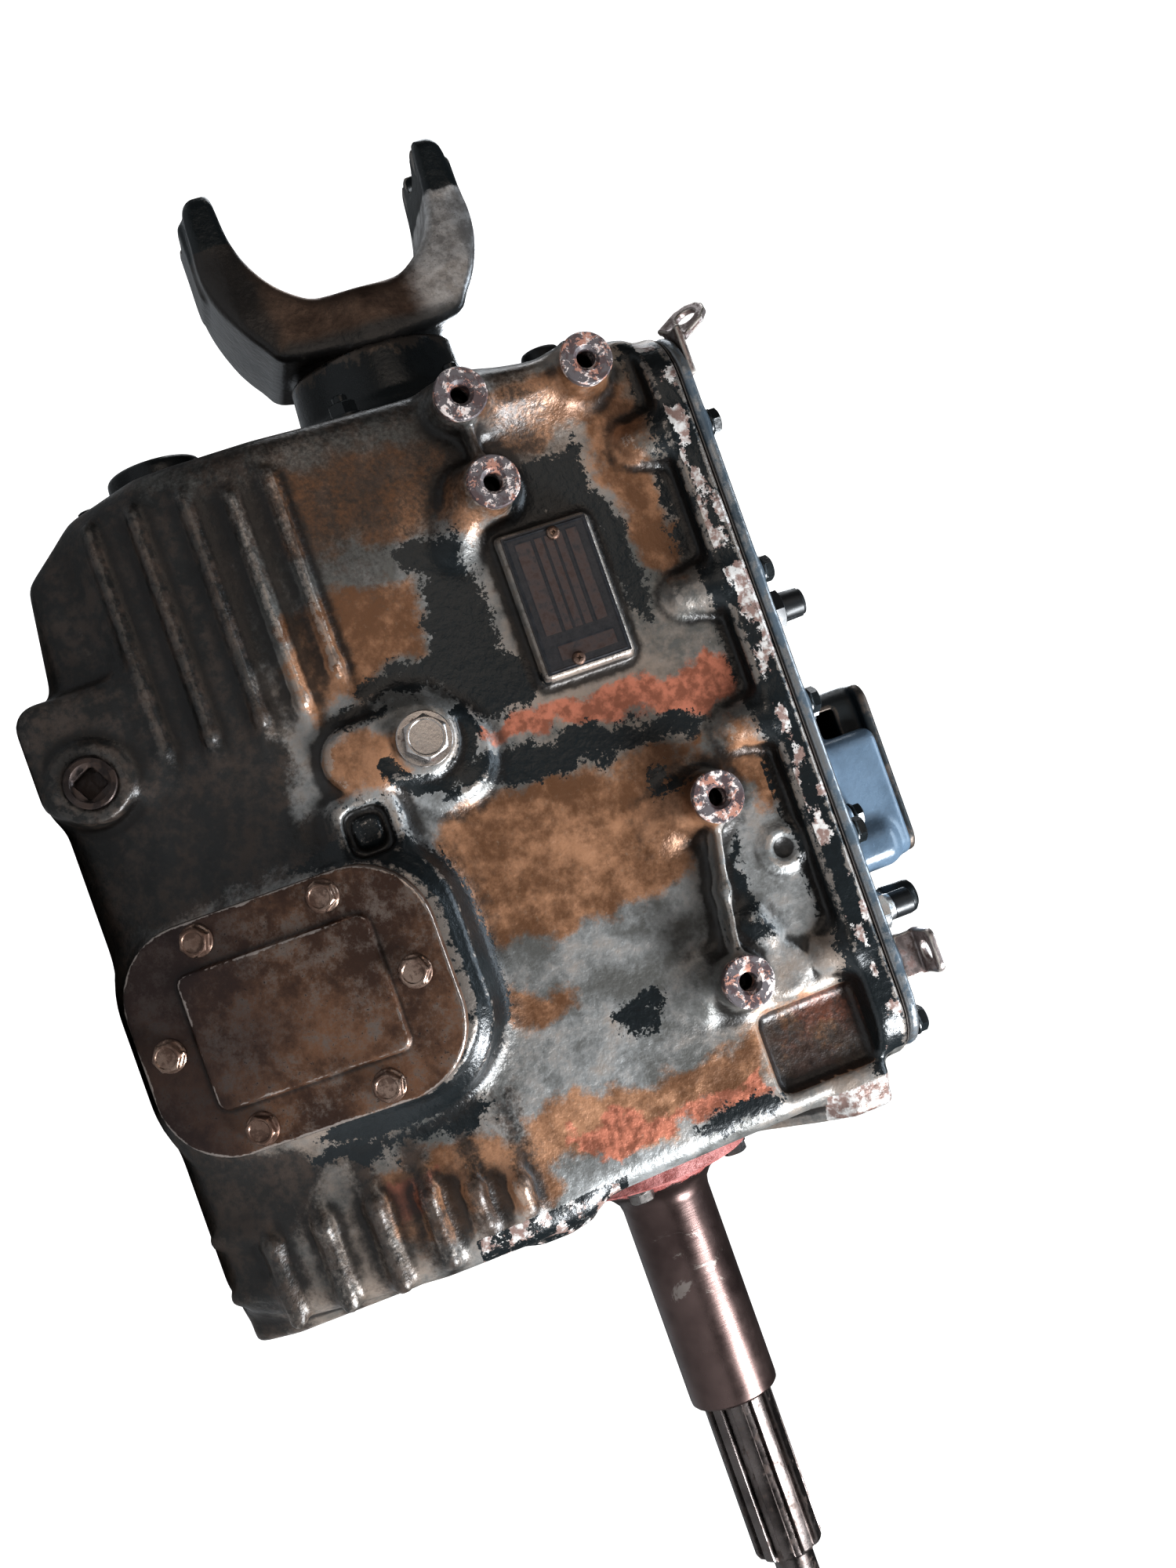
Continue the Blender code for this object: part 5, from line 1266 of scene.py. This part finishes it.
def eased(loop, n=4):
    """The same outline with its corners drawn as a curve through every point."""
    p = np.array(loop, float)
    out = []
    for i in range(len(p)):
        a, b_, c_, d_ = (p[(i + j) % len(p)] for j in (-1, 0, 1, 2))
        for t_ in np.arange(n) / n:
            out.append(tuple(0.5 * (2 * b_ + (c_ - a) * t_ + (2 * a - 5 * b_ + 4 * c_ - d_) * t_**2 + (3 * b_ - a - 3 * c_ + d_) * t_**3)))
    return out


def yoke_build(F):
    s, X, Y, Z = F.window(F.lo, F.lo + F.n * F.h, 0)
    d = smax(smax(sd_poly(eased(SADDLE), X, Z), -642.8 - X + 0 * Z, 0), sd_poly(WIDTH, X, Y), 5)
    # The arms are hollowed on their flanks between the saddle and the cap seats.
    F.D[s] = np.minimum(F.D[s], d)
    for sz in (-1, 1):
        for sy in (-1, 1):
            F.cut(rod((-560, sy * 60, sz * 92), (-606, sy * 53, sz * 84), 17, 12, 5), 8)
    F.soften(1)
    F.add(rod((-523, 0, 0), (-560, 0, 0), 47, 48.6, 3), 8)
    for sz in (-1, 1):
        F.add(rbox((-634, -25, min(sz * 72, sz * 88.5)), (-584, 25, max(sz * 72, sz * 88.5)), 4), 5)
    F.soften(1)
    F.add(rod((-484, 0, 0), (-527, 0, 0), 40, 40, 0.8), 2)
    F.cut(rod((-644.7, 0, -100), (-644.7, 0, 100), 18.5), 0.6)
    F.cut(rod((-470, 0, 0), (-600, 0, 0), 24.4), 0)
    F.cut(rod((-546, 0, 0), (-600, 0, 0), 27.5, 27.5, 0.4), 0.6)
    for sy in (-1, 1):
        for sz in (-1, 1):
            F.cut(rod((-648, sy * 27.5, sz * 70), (-621, sy * 27.5, sz * 70), 4.6), 0.3)


field_piece("output_yoke_forging", (-643, -50, -89), (-483, 50, 89), 1.25, yoke_build, M["yoke"], "output", "output_yoke", (3, 0.5))
b = Build()
b.turned([(-566, 15), (-566, 19), (-554.6, 19), (-554.6, 15)], (0, 0, 0), axes((1, 0, 0), (0, 1, 0)), 48, True)
n = 72
t = np.arange(n) * math.tau / n
hexr = 23 / np.cos((t + math.pi / 6) % (math.pi / 3) - math.pi / 6)
dr = np.maximum(hexr - 22, 0) * 0.5
rg = lambda r, z: np.stack([r * np.cos(t), r * np.sin(t), z + np.zeros(n)], 1)
b.rings([rg(15.6, 554.6), rg(hexr, 554.6), rg(hexr, 565.8 - dr), rg(22 + 0 * t, 566), rg(17 + 0 * t, 566), rg(15.6 + 0 * t, 565), ], (0, 0, 0), XR, closed=True)
b.done("yoke_nut_hexagon", M["steel"], "output", "yoke_nut", 30)

# ------------------------------------------------------------------ top cover, shift housing


def cover_build(F):
    F.add(prism(rounded(440, 282, 32, -240, 0), "z", 143.2, 151, 1.2))
    F.add(prism(rounded(392, 204, 22, -236, 0), "z", 145, 157, 3), 5)
    F.add(prism(rounded(378, 162, 24, -236, 0), "z", 148, 170, 4), 9)
    for y in (-28, 0, 28):
        F.add(rod((-404, y, 157), (-64, y, 157), 12.4, 12.4, 4), 5)
    for x in (-402, -311, -230, -150, -74):
        for sy in (-1, 1):
            F.add(rod((x, sy * 125, 145), (x, sy * 125, 153.5), 12, 11, 1), 4)
    for sy in (-1, 1):
        for x in (-356, -340, -270, -254):
            F.add(rbox((x - 2.5, min(sy * 92, sy * 124), 147), (x + 2.5, max(sy * 92, sy * 124), 155), 2), 4)
    F.soften(1)
    F.cut(prism(rounded(384, 188, 18, -236, 0), "z", 130, 152))
    F.cut(prism(rounded(360, 140, 16, -236, 0), "z", 148, 165))
    for x in (-70, -390):
        F.add(rbox((x - 5, -46, 118), (x + 5, 46, 167), 1))
        for y in (-28, 0, 28):
            F.cut(rod((x - 12, y, 136), (x + 12, y, 136), 9.0))
    F.cut(prism(rounded(92, 88, 10, -175, 0), "z", 100, 190, 0))
    # Flat seats for the housing, the switch and the breather.
    F.cut(rbox((-236, -68, 170.0), (-60, 68, 200), 0), 0)


field_piece("top_cover_casting", (-461, -142, 117), (-19, 142, 171), 2.0, cover_build, M["cover"], "case", "top_cover", (3, 0.5))

ZU = axes((0, 0, 1), (1, 0, 0))
b = Build()
DECK_BOLTS = [(x, sy * 125) for x in (-402, -311, -230, -150, -74) for sy in (-1, 1)]
for i, (x, y) in enumerate(DECK_BOLTS):
    b.hexhead((x, y, 153.6), ZU, 13.5, 7.2, flange=8.6, flange_h=1.8, turn=0.4 * i, shank=4.4, depth=24)
for i, (x, y) in enumerate([(-448, -70), (-448, 0), (-448, 70), (-31, -70), (-31, 0), (-31, 70), (-446, -122 + 244), (-34, 122), (-34, -122)]):
    b.hexhead((x, y, 151.1), ZU, 13.5, 7.2, flange=8.6, flange_h=1.8, turn=0.3 * i, shank=4.4, depth=24)
b.done("top_cover_bolts", M["black"], "case", None, 30)


def housing_build(F):
    F.add(prism(rounded(116, 124, 14, -174.5, 0), "z", 170.3, 178, 1.5))
    F.add(prism(rounded(84, 114, 10, -161, 0), "z", 172, 215.5, 4), 3)
    F.add(prism(rounded(54, 94, 12, -206, 0), "z", 172, 187, 3), 3)
    F.add(prism(rounded(30, 130, 13, -131, 0), "z", 172, 206, 9), 7)
    for x, y in HOUSING_BOLTS:
        F.add(rod((x, y, 170.5), (x, y, 178), 9, 9, 1.2), 3)
    F.soften(1)
    F.cut(prism(rounded(94, 92, 8, -175, 0), "z", 150, 199, 0))
    F.cut(rod((-175, -54, 187), (-175, 54, 187), 8.7))


def tower_build(F):
    F.add(prism(rounded(50, 92, 14, -207, 2), "z", 177, 217, 5))
    F.add(prism(rounded(112, 108, 12, -175, 1), "z", 213.5, 220.5, 2.5), 2)
    F.soften(1)
    F.cut(prism(rounded(94, 92, 8, -175, 0), "z", 150, 199, 0))


HOUSING_BOLTS = ((-226, -54), (-226, 54), (-154, -66), (-154, 66))
field_piece("shift_housing_casting", (-236, -78, 170), (-112, 78, 222), 1.5, housing_build, M["housing"], "case", "shift_housing", (3, 0.45))
# The shift tower is a near-black piece: partly its finish, partly painted shade.
field_piece("shift_tower_casting", (-236, -56, 174), (-116, 58, 227), 1.5, tower_build, M["tower"], "case", "shift_housing", (3, 0.45))
b = Build()
for i, (x, y) in enumerate(HOUSING_BOLTS):
    b.hexhead((x, y, 178.2), ZU, 12.5, 6.8, flange=8.2, flange_h=1.6, turn=0.5 * i, shank=4, depth=10)
b.done("shift_housing_bolts", M["black"], "case", None, 30)

# ------------------------------------------------------------------ lifting eyes


def rear_eye_build(F):
    lean = math.radians(60)
    up = np.array([-math.cos(lean), 0, math.sin(lean)])
    F.add(rbox((-460, -135, 151.4), (-430, -109, 155.4), 1.2))
    hinge = np.array([-458.0, -122, 153.4])
    across, face = np.array([0.0, 1, 0]), np.cross(up, [0, 1, 0])
    turn = math.radians(32)
    B = np.array([up, across * math.cos(turn) + face * math.sin(turn), face * math.cos(turn) - across * math.sin(turn)])
    F.add(placed(prism([(-1, -13), (15, -13), (22, -9), (25.5, -3), (25.5, 3), (22, 9), (15, 13), (-1, 13)], "z", -2, 2, 0.9), hinge, B), 2.5)
    c_ = hinge + up * 13
    F.cut(rod(c_ - 8 * B[2], c_ + 8 * B[2], 6.4), 0.4)


def front_eye_build(F):
    F.add(rbox((-86, -136, 151.3), (-60, -106, 155.3), 1.2))
    F.add(rbox((-86, -136, 151.3), (-60, -132, 168), 1.2), 2)
    F.add(prism([(-86, -132), (-86, -148)] + arc(-80, -152, 6, 180, 270, 6) + arc(-66, -152, 6, 270, 360, 6) + [(-60, -148), (-60, -132)], "z", 164, 168, 1.0), 2.5)
    F.cut(rod((-73, -146, 158), (-73, -146, 176), 6.5), 0.4)


field_piece("rear_eye_strip", (-475, -136, 150), (-429, -108, 180), 0.8, rear_eye_build, M["eye"], "case", "rear_lifting_eye", (2, 0.35))
field_piece("front_eye_strip", (-87, -159, 150), (-59, -105, 180), 0.8, front_eye_build, M["eye"], "case", "front_lifting_eye", (2, 0.35))

# ------------------------------------------------------------------ switches, breather, sensor

b = Build()
at = (-93, -64, 170.3)
b.hexhead(at, ZU, 22, 9.0, dish=0.0, turn=0.2)
b.turned([(7, 0), (7, 9.4), (9.6, 9.6), (10, 9.0), (13.3, 8.2), (13.7, 7.6), (13.7, 0)], at, ZU, 64)
b.done("neutral_switch_body", M["zinc"], "case", "neutral_switch", 30)
b = Build()
at = (-93, -64, 183.0)
b.turned([(0, 0), (0, 7.4), (1.0, 8.2), (13.0, 8.2), (13.6, 7.6), (13.6, 5.6), (9, 5.4), (9, 0)], at, ZU, 64)
b.done("neutral_switch_socket", M["plastic"], "case", None, 30)

b = Build()
at = (-287, -119, 151.3)
b.hexhead(at, ZU, 22, 8.6, dish=0.0, turn=0.1)
b.turned([(7, 0), (7, 8.6), (9.5, 9.0), (20.8, 8.6), (21.6, 7.8), (22.6, 7.6), (22.6, 5.4), (17, 5.2), (17, 0)], at, ZU, 64)
b.done("reverse_switch_body", M["plastic"], "case", "reverse_switch", 30)

b = Build()
at = (-90, -24, 170.3)
b.hexhead(at, ZU, 13, 9, dish=0.0)
b.turned([(8, 0), (8, 6.4), (22, 6.0), (23.4, 6.4), (23.8, 10.6), (25, 11.4), (40.0, 11.5), (43.5, 10.6), (45.6, 8.2), (46.4, 4.6), (46.6, 0)], at, ZU, 72)
b.done("breather_cap", M["black"], "case", "breather", 30)

b = Build()
at = (-466.5, -14, 104)
b.turned([(0, 0), (0, 9.6), (0.6, 10), (11, 10), (11.5, 12.4), (12.2, 13), (30, 13), (31.5, 12.4), (32.6, 11.6), (33.3, 10), (33.3, 0)], at, XR, 72)
b.hexhead((-479, -14, 104), XR, 24, 9, dish=0.0)
b.turned([(0, 0), (0, 6.2), (10, 6.2), (11, 5.6), (11, 4.2), (6, 4.0), (6, 0)], (-489, -24, 112), axes((-0.2, -0.75, 0.6)), 40)
b.done("speed_sensor_body", M["plastic"], "case", "speed_sensor", 30)

# Pieces made of turned shells carry an even wear value, so that the shared paints read the same on them.
for ob in bpy.context.scene.objects:
    if ob.type == "MESH" and "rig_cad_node" not in ob and ob.data.attributes.get("wear") is None:
        ob.data.attributes.new("wear", "FLOAT", "POINT")

# ------------------------------------------------------------------ floor, light, camera

floor_mat = bpy.data.materials.new("pale_floor")
floor_mat.use_nodes = True
floor_mat.node_tree.nodes["Principled BSDF"].inputs["Base Color"].default_value = (0.38, 0.38, 0.38, 1)
floor_mat.node_tree.nodes["Principled BSDF"].inputs["Roughness"].default_value = 0.9
fn = floor_mat.node_tree
glow = fn.nodes.new("ShaderNodeEmission")
glow.inputs["Color"].default_value = (1, 1, 1, 1)
glow.inputs["Strength"].default_value = 1.0
either = fn.nodes.new("ShaderNodeMixShader")
direct = fn.nodes.new("ShaderNodeLightPath")
fn.links.new(direct.outputs["Is Camera Ray"], either.inputs[0])
fn.links.new(fn.nodes["Principled BSDF"].outputs[0], either.inputs[1])
fn.links.new(glow.outputs[0], either.inputs[2])
fn.links.new(either.outputs[0], fn.nodes["Material Output"].inputs["Surface"])
bpy.ops.mesh.primitive_plane_add(size=14, location=(0, 0, -0.0006))
floor = bpy.context.object
floor.name = "floor"
floor.data.materials.append(floor_mat)

world = bpy.data.worlds.new("studio")
bpy.context.scene.world = world
world.use_nodes = True
wn = world.node_tree
bg = wn.nodes["Background"]
seen = wn.nodes.new("ShaderNodeLightPath")
level = wn.nodes.new("ShaderNodeMapRange")
level.inputs["To Min"].default_value, level.inputs["To Max"].default_value = 0.065, 1.0
wn.links.new(seen.outputs["Is Camera Ray"], level.inputs["Value"])
bg.inputs["Color"].default_value = (1.0, 1.0, 1.0, 1)
wn.links.new(level.outputs["Result"], bg.inputs["Strength"])


def area(name, at, aim, size, power, colour):
    data = bpy.data.lights.new(name, "AREA")
    data.shape, data.size, data.size_y = "RECTANGLE", size[0], size[1]
    data.energy, data.color = power, colour
    ob = bpy.data.objects.new(name, data)
    bpy.context.scene.collection.objects.link(ob)
    ob.location = at
    ob.rotation_euler = (Vector(aim) - Vector(at)).to_track_quat("-Z", "Y").to_euler()
    return ob


area("key_front", (0.92, -0.66, 0.84), (0.05, 0, 0.25), (0.45, 0.45), 31, (0.93, 0.965, 1.0))
area("top_soft", (0.1, -0.35, 1.35), (0, 0, 0.3), (0.8, 0.5), 6, (0.78, 0.89, 1.0))
area("back_soft", (-0.35, 1.35, 0.85), (0, 0, 0.25), (0.9, 0.7), 15, (0.90, 0.95, 1.0))
area("rear_soft", (-1.35, 0.55, 0.75), (-0.2, 0, 0.25), (0.8, 0.7), 5, (0.92, 0.96, 1.0))
area("warm_fill", (-0.5, -1.2, 0.5), (0, 0, 0.25), (0.7, 0.7), 1.6, (1.0, 0.88, 0.78))

view = bpy.context.scene.view_settings
view.view_transform = "Standard"
view.look = "None"
view.exposure = 0.40
view.gamma = 0.82

PHI, ROLL = math.radians(12.2), math.radians(19.6)
d = Vector((0, math.cos(PHI), math.sin(PHI)))
n3 = Vector((0, -math.sin(PHI), math.cos(PHI)))
right = Vector((math.sin(ROLL), 0, 0)) + math.cos(ROLL) * n3
up = Vector((-math.cos(ROLL), 0, 0)) + math.sin(ROLL) * n3
cam = bpy.data.cameras.new("camera")
cam.lens, cam.sensor_width, cam.sensor_fit = 37.89, 36.0, "AUTO"
cam.clip_start = 0.05
camera = bpy.data.objects.new("camera", cam)
bpy.context.scene.collection.objects.link(camera)
place = Matrix((right, up, -d)).transposed().to_4x4()
place.translation = Vector((-0.05754, -1.02174, 0.08558))
camera.matrix_world = place
bpy.context.scene.camera = camera
